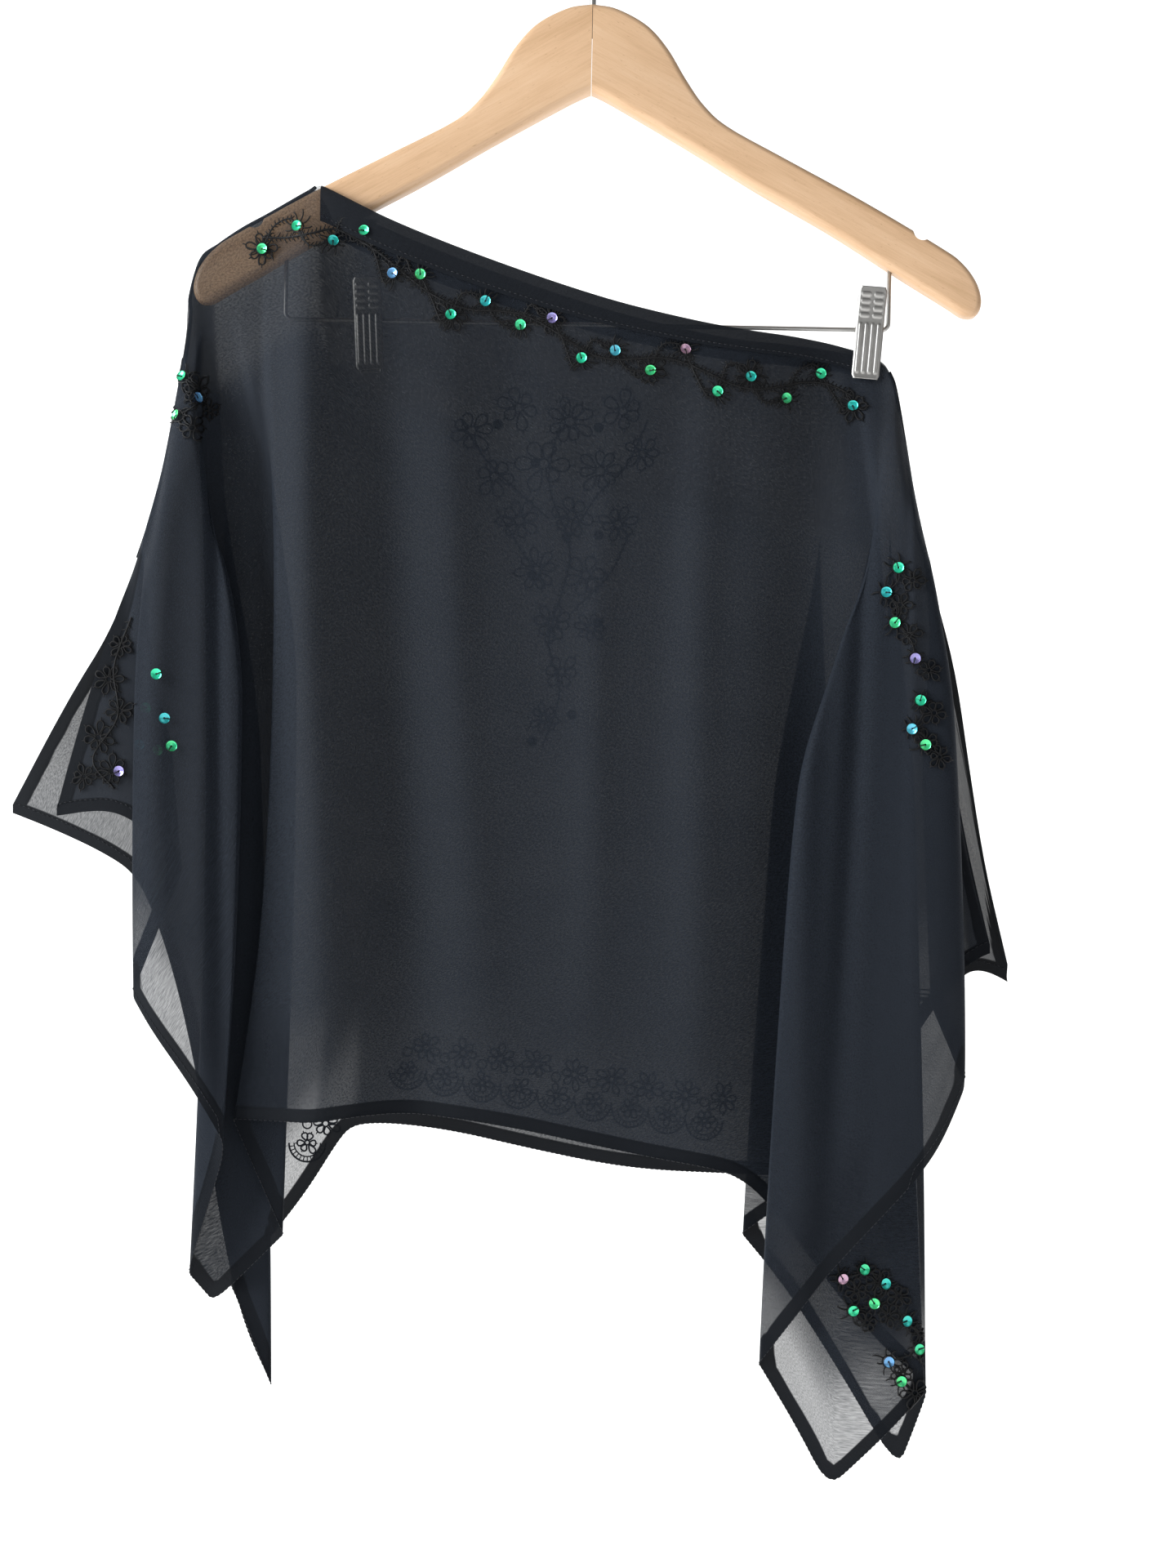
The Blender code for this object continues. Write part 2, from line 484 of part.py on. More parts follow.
def thread_path(fall, edge, distance, shift, depth):
    """One thread from the top edge to the hem.

    It starts straight below its place on the edge and eases over to the fold's own course, which is
    a parabola through its top, middle and hem. Y first rounds off the seam, then eases to its depth.
    """
    start = edge.at(distance)
    length = max(start[2] - fall.z_hem, 1.0)
    fallen = drops(length, float(edge.row_scale(distance)))
    v = fallen / length
    course = (fall.x_top * (1 - v) * (1 - 2 * v) + 4 * fall.x_mid * v * (1 - v)
              + fall.x_hem * v * (2 * v - 1) + shift)
    reach = min(fall.reach, length)
    x = start[0] + (course - start[0]) * eased((fallen - PUFF_DROP - fall.hold) / reach)
    puff = edge.puff(distance)
    rounding = np.sqrt(1 - (1 - np.clip(fallen / PUFF_DROP, 0, 1)) ** 2)
    settle = eased((fallen - fall.hold) / min(max(DEPTH_REACH, DEPTH_LEAD * fall.reach), length))
    y = start[1] + puff * rounding + (depth - start[1] - puff) * settle
    return np.stack([x, y, start[2] - fallen], axis=-1)


def across(controls, samples):
    """A quadratic spline across the threads: it passes midway between neighbours, and never overshoots."""
    controls = np.asarray(controls, float)
    middles = (controls[1:] + controls[:-1]) / 2
    starts = np.concatenate([controls[:1], middles])
    ends = np.concatenate([middles, controls[-1:]])
    points = []
    for first, turn, last, count in zip(starts, controls, ends, samples):
        for t in np.arange(count) / count:
            points.append((1 - t) ** 2 * first + 2 * t * (1 - t) * turn + t * t * last)
    return np.array(points + [controls[-1]])


def leg_threads(first, second, first_nose, second_nose):
    """Threads in the leg between two falls that keep the folds round, never past its middle."""
    leg = second[0] - first[0]
    width = np.maximum(np.abs(leg[:, :1]), 0.01)
    threads = []
    for nose, from_second in ((first_nose, False), (second_nose, True)):
        if nose:
            share = np.minimum(nose / width, NOSE_SHARE)
            share = 1 - share if from_second else share
            place = first[1] + (second[1] - first[1]) * share[0, 0]
            threads.append((first[0] + leg * share, place, 1))
    return threads


def slant(first, second):
    """How far the ends of a leg move into their folds, row by row."""
    width = np.abs(second[0][:, 0] - first[0][:, 0])
    return SLANT * (1 - smooth_step(width / SHORT_LEG))


def relaxed(grid, firm):
    """The grid with small kinks across it taken out, but not near the top edge or low in a firm column."""
    share = RELAX * smooth_step((grid[:, :1, 2] - grid[:, :, 2] - PUFF_DROP) / RELAX_START)
    lower = smooth_step(2 * np.arange(grid.shape[1]) / grid.shape[1])
    share = (share * (1 - firm[:, None] * lower))[1:-1, :, None]
    for _ in range(RELAX_PASSES):
        before, here, after = grid[:-2], grid[1:-1], grid[2:]
        to_before = np.linalg.norm(here - before, axis=-1, keepdims=True)
        to_after = np.linalg.norm(after - here, axis=-1, keepdims=True)
        chord = (before * to_after + after * to_before) / (to_before + to_after)
        moved = grid.copy()
        moved[1:-1] += share * (chord - here)
        grid = moved
    return grid


def panel_grid(falls, edge):
    """The panel's middle surface as a grid of points, and each column's place along the top edge."""
    own = []
    for fall in falls:
        samples = 1 if fall.side == CORNER else 2
        own.append([(thread_path(fall, edge, *thread), thread[0], samples) for thread in fall_threads(fall)])
    slants = [slant(before[-1], after[0]) for before, after in zip(own, own[1:])]
    for k, fall in enumerate(falls):
        if abs(fall.side) == 1:
            (entry, *_), (leave, *_) = own[k]
            depth = leave[:, 1] - entry[:, 1]
            entry[:, 1] += slants[k - 1] * depth
            leave[:, 1] -= slants[k] * depth
    threads = list(own[0])
    for before, after, group in zip(falls, falls[1:], own[1:]):
        threads += leg_threads(threads[-1], group[0], nose_length(before), nose_length(after))
        threads += group
    samples = [thread[2] for thread in threads]
    distances = across([[thread[1]] for thread in threads], samples)[:, 0]
    grid = across([thread[0] for thread in threads], samples)
    slip = edge.at(distances) - grid[:, 0]
    fallen = grid[:, :1, 2] - grid[:, :, 2]
    fade_length = np.minimum(SLIP_FADE, 0.8 * fallen[:, -1:])
    fade = (1 - smooth_step(fallen / fade_length))[:, :, None]
    corners = [fall.edge for fall in falls if fall.side == CORNER]
    firm = np.abs(distances[:, None] - corners).min(axis=1) < CORNER_HALF
    return relaxed(grid + slip[:, None, :] * fade, firm), distances


def grid_normals(grid):
    """Unit normals of the grid, pointing to the garment's front."""
    along = np.gradient(grid, axis=0)
    down = np.gradient(grid, axis=1)
    normals = np.cross(down, along)
    return normals / np.linalg.norm(normals, axis=-1, keepdims=True)


def cloth(name, grid, finish, group):
    """A wall of even thickness about a grid of points."""
    columns, rows = grid.shape[:2]
    index = np.arange(columns * rows).reshape(columns, rows)
    faces = np.stack([index[:-1, :-1], index[:-1, 1:], index[1:, 1:], index[1:, :-1]], axis=-1).reshape(-1, 4)
    mesh = bpy.data.meshes.new(name)
    mesh.from_pydata((grid.reshape(-1, 3) * MM).tolist(), [], faces.tolist())
    mesh.shade_smooth()
    item = add_object(name, mesh, group, finish)
    wall = item.modifiers.new("wall", "SOLIDIFY")
    wall.thickness = WALL * MM
    wall.offset = 0
    return item


def neck_band(name, grid, distances, edge, finish, group):
    """The turned band: the panel's own upper points along the neck, moved out past its wall."""
    inside = (distances > edge.neck[0] + 1) & (distances < edge.neck[1] - 1)
    lifted = grid - edge.facing * (WALL + GAP) * grid_normals(grid)
    band = lifted[inside][:, :len(BAND_ROWS)]
    return cloth(name, band, finish, group)


def make_poncho(group):
    chiffon = material("chiffon", CLOTH_COLOUR, 0.85)
    turned = material("turned_band", BAND_COLOUR, 0.9)
    front_edge = Edge(SLIT_LEFT_FRONT, SHOULDER_LEFT, NECK_FRONT, SHOULDER_RIGHT, SLIT_RIGHT_FRONT, -1)
    back_edge = Edge(SLIT_LEFT_BACK, SHOULDER_LEFT, NECK_BACK, SHOULDER_RIGHT, SLIT_RIGHT_BACK, 1)
    for word, falls, edge in (("front", FRONT_FALLS, front_edge), ("back", BACK_FALLS, back_edge)):
        grid, distances = panel_grid(falls, edge)
        cloth(f"{word}_panel", grid, chiffon, group)
        neck_band(f"{word}_neck_band", grid, distances, edge, turned, group)


def main():
    clear_scene()
    parts = collection("poncho_on_clip_hanger")
    cutters = collection("cutters")
    tilt = bpy.data.objects.new("hanger_tilt", None)
    parts.objects.link(tilt)
    tilt.rotation_euler = (0, TILT, 0)
    make_hanger(parts, cutters, tilt)
    make_poncho(parts)


main()
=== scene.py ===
"""The looks of a sheer black poncho on a wooden clip hanger.

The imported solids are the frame. The chiffon panels are thin sheets in the same folds as their
solids, with soft creases, turned hems, thorny thread embroidery and sequins on top. The hanger's
wood, wire and clips are made again with rounded edges and pressed reliefs. Lengths here are
millimetres, the origin is the inside top of the hook, X runs right, Y away from the camera and Z up.
"""
import math
from collections import namedtuple

import bmesh
import bpy
import numpy as np
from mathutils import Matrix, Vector
from mathutils.bvhtree import BVHTree


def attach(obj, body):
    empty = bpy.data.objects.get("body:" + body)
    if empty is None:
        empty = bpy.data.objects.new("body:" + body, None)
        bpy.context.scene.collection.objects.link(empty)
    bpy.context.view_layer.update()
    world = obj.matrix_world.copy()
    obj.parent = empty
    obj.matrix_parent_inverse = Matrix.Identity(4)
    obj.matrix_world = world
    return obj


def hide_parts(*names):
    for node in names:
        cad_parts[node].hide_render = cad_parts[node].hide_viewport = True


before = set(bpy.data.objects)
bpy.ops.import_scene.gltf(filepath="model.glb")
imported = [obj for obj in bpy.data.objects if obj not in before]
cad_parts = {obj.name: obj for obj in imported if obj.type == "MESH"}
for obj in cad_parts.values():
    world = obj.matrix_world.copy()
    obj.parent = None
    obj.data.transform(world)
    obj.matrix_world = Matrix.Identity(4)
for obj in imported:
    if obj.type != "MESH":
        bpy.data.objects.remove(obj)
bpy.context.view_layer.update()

MM = 0.001
GAP = 0.3                     # air between pieces that touch on the real garment

# Cloth
WALL = 1.0                    # thickness of the solid that a sheet stands for
SEAM_HALF = (WALL + GAP) / 2  # each panel's middle surface lies this far from a seam
PUFF_LEFT = 7.4               # how far a panel stands off the seam where it rounds the wooden arm
PUFF_RIGHT = 2.5              # the same at the right, where the seam hangs free
PUFF_DROP = 7.0               # the height in which it does so
BAND_WIDTH = 20.0             # turned band along the neck, at its left end
BAND_NARROW = 0.55            # share of that width left at the right end
BAND_ROWS = (0.0, 0.75, 1.5, 2.7, 4.0, 6.0, 8.0, 11.0, 14.0, 17.0, BAND_WIDTH)
LOWER_ROWS = 60               # rows of cloth below the band
SLIT_ROWS = 2.0               # how much further apart the band's rows are along a slit
DEPTH_REACH = 60.0            # least fall in which a fold takes its full depth
DEPTH_LEAD = 0.3              # that fall as a share of the one in which it closes sideways
SLIP_FADE = 60.0              # fall in which the spline's own course takes over from the top edge
CORNER_HALF = 2.5             # half the blunt end of a cloth corner
NOSE_ROUND = 1.3              # roundness of a fold, as a share of half its depth
NOSE_SHARE = 0.4              # the most of a leg that goes into one fold
SHORT_LEG = 9.0               # a leg shorter than this lies at a slant
SLANT = 0.36                  # how far its ends then move into their folds, as a share of the depth
RELAX_PASSES = 3
RELAX = 0.5                   # share of a kink that one pass takes out
RELAX_START = 25.0            # fall in which that share is reached
EDGE_STEPS = 12               # points of a top edge's curve to each given one
FINE_STEPS = 4                # columns of the fine sheet to each one of the net
HEM = 7.5                     # width of the turned hems
HEM_STITCH = 0.6              # the hem's stitches run this far inside it
SEAM_RADIUS = 1.1             # the closed shoulder seams, as a soft cord of folded cloth
SEAM_EASE = 12.0              # length in which a seam begins and ends
RIM_COLUMNS = 18              # how far aside the nearest turned edge is looked for, in columns
BAND_LIFT = 0.4               # the turned band stands this far off the sheet at its ends
BAND_EASE = 16.0              # length in which it comes out past the solid's wall

# Hanger
WOOD_THICKNESS = 12.0
WOOD_ROUND = 4.0
TILT = math.radians(1.07)     # the clipped side hangs lower
NOTCH_X = 188.0
NOTCH_Z = -188.0
NOTCH_RADIUS = 4.6
HOOK_WIRE = 1.8
HOOK_INNER = 19.0
HOOK_SEAT = -62.0
HOOK_DEPTH = 18.0
BAR_WIRE = 1.2
BAR_X = 170.7
BAR_Z = -242.3
BAR_BEND = 4.0
BAR_TOP = -202.0

# Clips
CLIPS = (("right", 159.4, math.radians(3.6)), ("left", -123.4, math.radians(-2.7)))   # side, X, lean
CLIP_SIDES = (("front", 15.3, -1), ("back", 12.6, 1))    # plate, width, the way it faces
CLIP_SHEET = 0.9
CLIP_EAR = 4.2
EAR_HOLE = 1.5
EAR_SIDES = 32
SPRING_TURNS = 7
SPRING_RADIUS = 2.3
SPRING_HALF = 3.9
SPRING_WIRE = 0.5
CLIP_EAR_SHIFT = 1.0

# Camera: it looks level along +Y from this point
EYE = (-3.9, -950.0, -502.3)
FRAME_HEIGHT = 888.0          # height of the picture at the hanger's own depth


def table(kind, *entries):
    """A table's rows as named tuples."""
    return tuple(kind(*entry) for entry in entries)


ArmPoint = namedtuple("ArmPoint", "x z")
ARM_TOP = table(ArmPoint, (0, -62), (14, -64.5), (31, -73.5), (43, -86.5), (53.5, -103.5), (64, -118),
    (78, -130), (111, -147.5), (155, -170.5), (198, -195), (211, -204), (219.5, -215), (222.5, -226))
ARM_UNDER = table(ArmPoint, (219.8, -233.5), (212.5, -234.2), (202, -228), (176, -212.5), (136, -188),
    (95, -165.5), (54.5, -141.5), (14, -118.5), (0, -111.5))

ClipPoint = namedtuple("ClipPoint", "z y")
CLIP_PROFILE = table(ClipPoint, (22.5, 7.8), (14.0, 6.4), (4.0, 5.0), (-4.0, 4.8), (-24.0, 3.3),
    (-28.5, 3.3))

# The panels' top edges, from the left corner to the right one. Depth is Y.
EdgePoint = namedtuple("EdgePoint", "x z depth")
SLIT_LEFT_FRONT = table(EdgePoint, (-301, -516, -12), (-288, -469, -12), (-272, -419, -12))
SLIT_LEFT_BACK = table(EdgePoint, (-335, -515, 14), (-301, -455, 8), (-275, -417, -2))
SHOULDER_LEFT = table(EdgePoint, (-255, -374, -12), (-243, -332, -9), (-237.5, -304, -7),
    (-230.5, -260, -4), (-228.7, -236, -1), (-229, -226, 0), (-222.8, -205.2, 0), (-213, -197.2, 0),
    (-199, -187.8, 0), (-184.3, -179.8, 0), (-160.5, -166.2, 0))
NECK_FRONT = table(EdgePoint, (-155.5, -165, -4), (-151.5, -167, -6.9), (-147, -170.3, -7.8),
    (-136, -176, -10), (-118, -185.5, -12), (-66, -206.5, -12.5), (3, -230, -12), (50.5, -241.5, -10),
    (82.5, -247, -7), (107, -249.5, -4), (124, -252, -1.8), (140, -255.5, -0.65), (160, -262, -0.65))
NECK_BACK = table(EdgePoint, (-155.5, -165, 4), (-151.5, -167.2, 6.9), (-147, -170.8, 7.8),
    (-137, -176, 10), (-119, -184, 12), (-67, -205, 12.5), (3, -229, 12), (51, -242, 10), (83, -249, 7),
    (107, -252, 4), (124, -255, 1.8), (140, -258, 0.65), (160, -262.5, 0.65))
SHOULDER_RIGHT = table(EdgePoint, (167.5, -271, 0), (171.5, -286, 0), (179.5, -335, 0), (184, -364, 0),
    (190.5, -386, 0))
SLIT_RIGHT_FRONT = table(EdgePoint, (199, -475, -5), (204, -514, -7.5), (212, -553, -10), (221, -593, -12))
SLIT_RIGHT_BACK = table(EdgePoint, (209, -453, 5), (213.5, -487, 9), (217, -519, 12), (230, -571, 18),
    (240, -612, 20))

# The lines that the cloth falls along, in the order of the cloth from its left corner to its right.
# edge: where the line leaves the top edge, measured along it. x_top, x_mid, x_hem, z_hem: its course.
# reach: the fall in which it settles, or in which a fold closes up. depth_in, depth_out: Y before and
# behind the nose of a fold, or a plain line's one Y. hold: the fall before it starts. side: the way a
# fold's nose points, or that a cloth corner hangs here. spread: between the threads of a fold or corner.
PLAIN, NOSE_LEFT, NOSE_RIGHT, CORNER = 0, -1, 1, 2
Fall = namedtuple("Fall", "edge x_top x_mid x_hem z_hem reach depth_in hold side spread depth_out",
                  defaults=(0, PLAIN, 0, 0))
FRONT_FALLS = table(Fall, (0, -301, -300, -299, -520, 60, -12), (49, -288, -286, -285, -518.5, 60, -12),
    (96, -273, -265, -262, -510, 60, -12), (128, -240, -236, -229, -549, 90, -12, 0, NOSE_RIGHT, 7, -19),
    (168, -252, -256, -256, -618, 90, -19, 0, NOSE_LEFT, 9, -27), (209, -236, -240, -240, -642, 120, -29),
    (250, -227, -219, -219, -670, 120, -31),
    (284, -198, -194, -203, -702, 200, -29, 10, NOSE_RIGHT, 7, -22),
    (327, -222, -219, -227, -776, 200, -22, 36, NOSE_LEFT, 5, -9),
    (337, -216, -201, -214, -793, 200, -8, 36, CORNER, 4, -8),
    (347, -166, -167, -174, -754, 220, -9, 36, NOSE_RIGHT, 5, -14),
    (368, -178, -176, -202, -688, 200, -14, 34, NOSE_LEFT, 6, -20),
    (390, -160, -143, -162, -690, 120, -20, 24), (402, -156, -138, -154, -689, 120, -20, 24),
    (411, -150, -130, -146, -688, 120, -19, 24), (447, -119, -104, -117, -684, 120, -17),
    (503, -67, -59, -69, -688, 120, -13), (560, -13, -13, -13, -701, 120, -11),
    (616, 41, 32, 32, -713, 120, -12), (668, 92, 69, 69, -716, 120, -13),
    (703, 124, 105, 98, -721, 120, -12, 18), (717, 140, 139, 133, -800, 120, -12, 26),
    (727.5, 163, 173, 185, -838, 240, -12, 20, NOSE_RIGHT, 1.8, -19),
    (733, 162.5, 160, 159, -868, 240, -20, 20), (737, 157, 136, 129, -892, 240, -20, 18, CORNER, 1.5, -20),
    (744, 151, 110, 90, -822, 220, -20, 18, NOSE_LEFT, 2.2, -27), (753, 160, 136, 121, -777, 200, -29, 12),
    (764.8, 169, 162, 157, -738, 200, -31, 6), (786, 174, 182, 189, -712, 120, -29),
    (822, 190, 195, 204, -667, 120, -27, 0, NOSE_RIGHT, 9, -20),
    (872, 177, 181, 186, -624, 120, -20, 0, NOSE_LEFT, 8, -12), (960, 199, 204, 207, -601, 60, -12),
    (1077, 221, 221, 220, -597, 60, -12))
BACK_FALLS = table(Fall, (1, -335, -335, -334, -519, 60, 14), (48, -314, -308, -305, -530, 60, 14),
    (112, -280, -271, -269, -547, 60, 16), (144, -268, -264, -262, -557, 60, 18),
    (176, -256, -252, -247, -592, 90, 20), (208, -249, -243, -233, -650, 90, 21),
    (244, -241, -232, -221, -722, 90, 22), (285, -233, -219, -212, -812, 120, 23, 20),
    (322, -202, -191, -186, -851, 220, 23, 36, NOSE_RIGHT, 7, 16),
    (354, -216, -213, -209, -790, 220, 16, 36, NOSE_LEFT, 7, 9), (390, -181, -172, -177, -751, 120, 9, 30),
    (413, -160, -144, -157, -727, 120, 10, 24), (420, -156, -139, -145, -698, 120, 10, 24),
    (429, -150, -131, -136, -694, 120, 10, 24), (463, -119, -107, -98, -696, 120, 11),
    (519, -67, -60, -51, -707, 120, 12), (576, -13, -9, -6, -720, 120, 12),
    (632, 41, 38, 40, -725, 120, 11), (683, 92, 75, 77, -724, 120, 9),
    (716, 140, 134, 131, -727, 240, 8, 20, NOSE_RIGHT, 4, 14),
    (733, 126, 102, 84, -761, 240, 14, 20, NOSE_LEFT, 3, 20), (744, 154, 128, 121, -799, 240, 21, 20),
    (752, 160, 161, 175, -899, 240, 21, 16, CORNER, 3, 21),
    (763, 176, 188, 193, -853, 240, 20, 10, NOSE_RIGHT, 4, 26),
    (790, 172, 162, 153, -712, 260, 26, 0, NOSE_LEFT, 9, 32), (840, 188, 187, 186, -650, 160, 32),
    (886, 197, 205, 214, -602, 90, 28), (989, 219, 226, 229, -611, 60, 24),
    (1110, 241, 240, 240, -617, 60, 22))

# Creases that are too small for the solid. They lie on the part of a panel between two places on its top
# edge, and run from x_top at the share v_top of the fall to x_end at v_end. Height is towards the front.
Crease = namedtuple("Crease", "u_from u_to x_top x_end v_top v_end width height sway")
RIPPLE = 0.9
FRONT_CREASES = table(
    Crease,
    (352, 560, -160, -152, 0.08, 1.08, 22, 12.0, 1.5),
    (376, 560, -117, -101, 0.18, 1.12, 23, -12.0, 3.0),
    (400, 640, -86, -60, 0.14, 0.98, 15, 3.0, 3.0),
    (470, 720, -46, -34, 0.08, 0.80, 22, -2.0, 3.0),
    (470, 720, 16, -12, 0.20, 0.92, 12, 2.6, 5.0),
    (520, 720, 52, 30, 0.05, 0.75, 18, -2.4, 2.0),
    (560, 740, 126, 106, 0.10, 1.10, 36, -12.0, 3.0),
    (560, 722, 66, 52, 0.15, 1.05, 16, 3.0, 3.0),
    (736, 800, 128, 106, 0.06, 1.05, 11, 4.5, 3.0),
    (736, 806, 151, 128, 0.08, 1.05, 8, -4.0, 2.0),
    (770, 830, 172, 170, 0.12, 0.95, 9, 2.6, 2.0),
    (757, 850, 199, 192, 0.12, 1.00, 34, 6.5, 1.0),
    (160, 300, -236, -243, 0.14, 1.05, 13, 5.0, 2.0),
    (160, 306, -213, -203, 0.08, 1.05, 6, -4.0, 1.5),
    (326, 376, -186, -190, 0.16, 1.0, 6, -2.5, 1.0),
)
BACK_CREASES = table(
    Crease,
    (400, 720, -96, -82, 0.15, 1.0, 16, -2.4, 3.0),
    (400, 720, -30, -12, 0.10, 0.9, 20, 2.0, 4.0),
    (420, 720, 26, 6, 0.10, 0.9, 6, -1.8, 6.0),
    (500, 720, 66, 60, 0.15, 1.0, 16, 2.2, 3.0),
    (180, 300, -222, -214, 0.15, 0.95, 9, -2.0, 2.0),
    (800, 960, 196, 204, 0.10, 0.9, 9, -2.0, 2.0),
)

# Sheer cloth: how much of the light a single layer stops, near the hem and higher up. The rise higher up is
# painted shade, as the chiffon is equally sheer all over
SHEER_ALPHA = 0.68
SHADE_ALPHA = 0.92
MOST_ALPHA = 0.995
SHEER_REACH = 30.0            # up to this height above the hem
SHADE_REACH = 72.0            # from this height on
SPAN_EASE = 8.0               # width in which a span begins and ends
SPAN_FADE = 20.0              # height in which it ends below
Span = namedtuple("Span", "start end low high depth")   # stretch of the top edge, least and greatest share of painted shade
# Painted shade: these spans raise the cloth's opacity where the garment lies in shade, and lower it near
# the top edge where light shows through
SHADE_SPANS = {
    "front": table(Span, (0, 118, 1.2, 1.2, 900), (165, 300, 0.3, 0.9, 900), (300, 352, 1.2, 1.2, 900),
        (404, 714, 0.92, 1.0, 900), (765, 850, 1.15, 1.15, 900), (930, 1080, 1.1, 1.1, 900),
        (404, 714, 0.3, 0.4, 105), (330, 425, 0.1, 0.2, 85), (285, 425, -0.5, -0.4, 42)),
    "back": table(Span, (0, 130, 0.65, 0.8, 900), (150, 340, 1.25, 1.25, 900), (430, 715, 0.92, 1.0, 900),
        (930, 1110, 1.0, 1.0, 900), (419, 753, 1.2, 1.2, 105)),
}
GRAIN = 0.55                  # unevenness of that share, from the crepe yarn
WEAVE = 560                   # thread waves per metre

# Embroidery, placed in the front view
VINE_ENDS = (-188, 146)
VINE_LEVEL = -150             # to the left of this X the vine takes the neck's height here
VINE_DROP = ((-188, 25), (-166, 19), (-148, 18), (-105, 26), (146, 27))   # X, distance below the neck edge
VINE_SWING = 4.5
VINE_WAVE = 13.5
FLOWER_STEP = 19.0
CORD_STEP = 1.2               # length of a thread's pieces
THREAD_RADIUS = 0.45
THORN_RADII = [0.42, 0.36, 0.26]          # thread from root to tip
SPIKE_RADII = [0.50, 0.46, 0.42, 0.44, 0.30]
TIP_RADII = [0.40, 0.35, 0.25]
RING_SIZE = 3.4               # the ring round a flower's sequin
RING_START = 3.3              # its spikes start there
WORK_LIFT = 0.75              # thread work lies this far off the sheet
SKIP_STEP = 0.4               # a look through a layer goes on this far behind it
MISS_Y = -8.0                 # a look that misses the sheet takes its nearest point to here
NEAR_CLUSTERS = (
    ((-233, -272), (-226, -284), (-236, -294)),
    ((172, -380), (165, -394), (170, -411), (181, -431)),
    ((184, -455), (180, -471), (187, -480)),
    ((140, -782), (152, -777), (164, -785), (158, -796), (146, -800)),
    ((176, -806), (183, -822), (166, -829), (173, -840)),
)
MOTIF_FLOWERS = ((-70, -302, 13), (-43, -289, 12), (-14, -297, 14), (16, -291, 12), (-57, -328, 12),
    (-29, -321, 15), (3, -325, 13), (27, -315, 10), (-43, -353, 13), (-13, -350, 12), (13, -355, 11),
    (-33, -381, 12), (-5, -384, 12), (-24, -411, 12), (-2, -414, 9), (-19, -439, 10), (-29, -465, 8))
MOTIF_STEMS = (
    ((-16, -286), (-26, -330), (-14, -372), (-26, -420), (-20, -450), (-30, -482)),
    ((-76, -296), (-62, -318), (-42, -338), (-26, -352)), ((30, -296), (18, -322), (2, -338), (-16, -366)),
    ((-56, -346), (-44, -366), (-28, -392)), ((20, -360), (8, -384), (-12, -404)),
)
BORDER_PLACES = tuple((x, -664 - 0.17 * (x + 112)) for x in range(-106, 72, 21)) + (
    (187, -640), (-163, -706), (-225, -580))
BORDER_SIZE = 10.4
FLAP_FLOWERS = ((-268, -424, 7), (-275, -443, 8), (-269, -461, 8), (-281, -476, 9), (-273, -495, 9),
    (-289, -498, 7))
FLAP_STEM = ((-262, -408), (-272, -436), (-270, -464), (-284, -488), (-272, -505))
FAR_SEQUINS = ((-55, -298), (2, -300), (-34, -320), (-16, -362), (2, -361), (-36, -384), (2, -411),
    (-13, -463), (-36, -478))
FOLD_SEQUINS = ((-254, -459), (-258, -480), (-247, -483))
OUTER_SEQUINS = ((-248, -440), (-244, -465), (-240, -481), (-269, -495))
SEQUIN_RINGS = ((0.55, 0.80), (0.75, 0.90), (1.90, 1.08), (2.75, 1.32), (2.95, 1.50))   # radius, height
SEQUIN_SIDES = 18
SEQUIN_SHADES = (0.06, 0.12, 0.30, 0.10, 0.55, 0.04, 0.16, 0.34, 0.08, 0.78, 0.14, 0.42, 0.05, 0.96, 0.11,
    0.28)
SEQUIN_STOPS = ((0.0, (0.10, 0.78, 0.22, 1)), (1.0, (0.72, 0.42, 0.52, 1)), (0.14, (0.03, 0.80, 0.42, 1)),
                (0.32, (0.03, 0.62, 0.60, 1)), (0.55, (0.16, 0.42, 0.78, 1)), (0.80, (0.34, 0.28, 0.62, 1)))
WOOD_STOPS = ((0.22, (0.54, 0.32, 0.165, 1)), (0.82, (0.87, 0.625, 0.42, 1)),
              (0.52, (0.75, 0.49, 0.295, 1)))
WOOD_SLOPE = math.radians(29.0)

# The fields of a panel's flat cut, in metres
Cut = namedtuple("Cut", "width length area")

# Studio
WORLD_STRENGTH = 0.10
PAPER_GLOW = 0.83
Lamp = namedtuple("Lamp", "name place aim width height energy colour")
LAMPS = (
    Lamp("window", (-2.3, -0.85, 0.45), (-0.05, 0, -0.5), 1.3, 1.7, 106, (0.95, 0.98, 1.0)),
    Lamp("fill", (1.5, -1.9, 0.2), (0.1, 0, -0.5), 1.4, 1.4, 5, (0.98, 0.99, 1.0)),
)
FLOOR_Z = -1010.0
SWEEP_Y = 1300.0
SWEEP_RADIUS = 600.0


def smooth_curve(points, steps=EDGE_STEPS):
    """Points on a Catmull-Rom curve through the given ones, steps to each stretch."""
    given = np.asarray(points, float)
    ends = np.vstack([2 * given[0] - given[1], given, 2 * given[-1] - given[-2]])
    t = np.linspace(0, 1, steps, endpoint=False)[:, None]
    runs = [0.5 * (2 * b + (c - a) * t + (2 * a - 5 * b + 4 * c - d) * t ** 2
                   + (3 * b - a - 3 * c + d) * t ** 3)
            for a, b, c, d in zip(ends, ends[1:], ends[2:], ends[3:])]
    return np.vstack(runs + [given[-1:]])


def stacked(*columns):
    """Points from their columns, which may be of unlike but fitting shapes."""
    return np.stack(np.broadcast_arrays(*columns), axis=-1)


def lengths(vectors):
    """Length of each vector."""
    return np.linalg.norm(vectors, axis=-1)


def smooth_step(t):
    """From 0 to 1, level at both ends."""
    t = np.clip(t, 0, 1)
    return t * t * (3 - 2 * t)


def eased(t):
    """From 0 to 1: it starts at once and ends gently."""
    t = np.clip(t, 0, 1)
    return (smooth_step(t) + t * (2 - t)) / 2


def run_along(path):
    """Distance from a path's first point to each of its points."""
    return np.concatenate([[0], np.cumsum(lengths(np.diff(path, axis=0)))])


def read_at(places, run, path):
    """Points of a path at places along its run."""
    return stacked(*(np.interp(places, run, column) for column in np.transpose(path)))


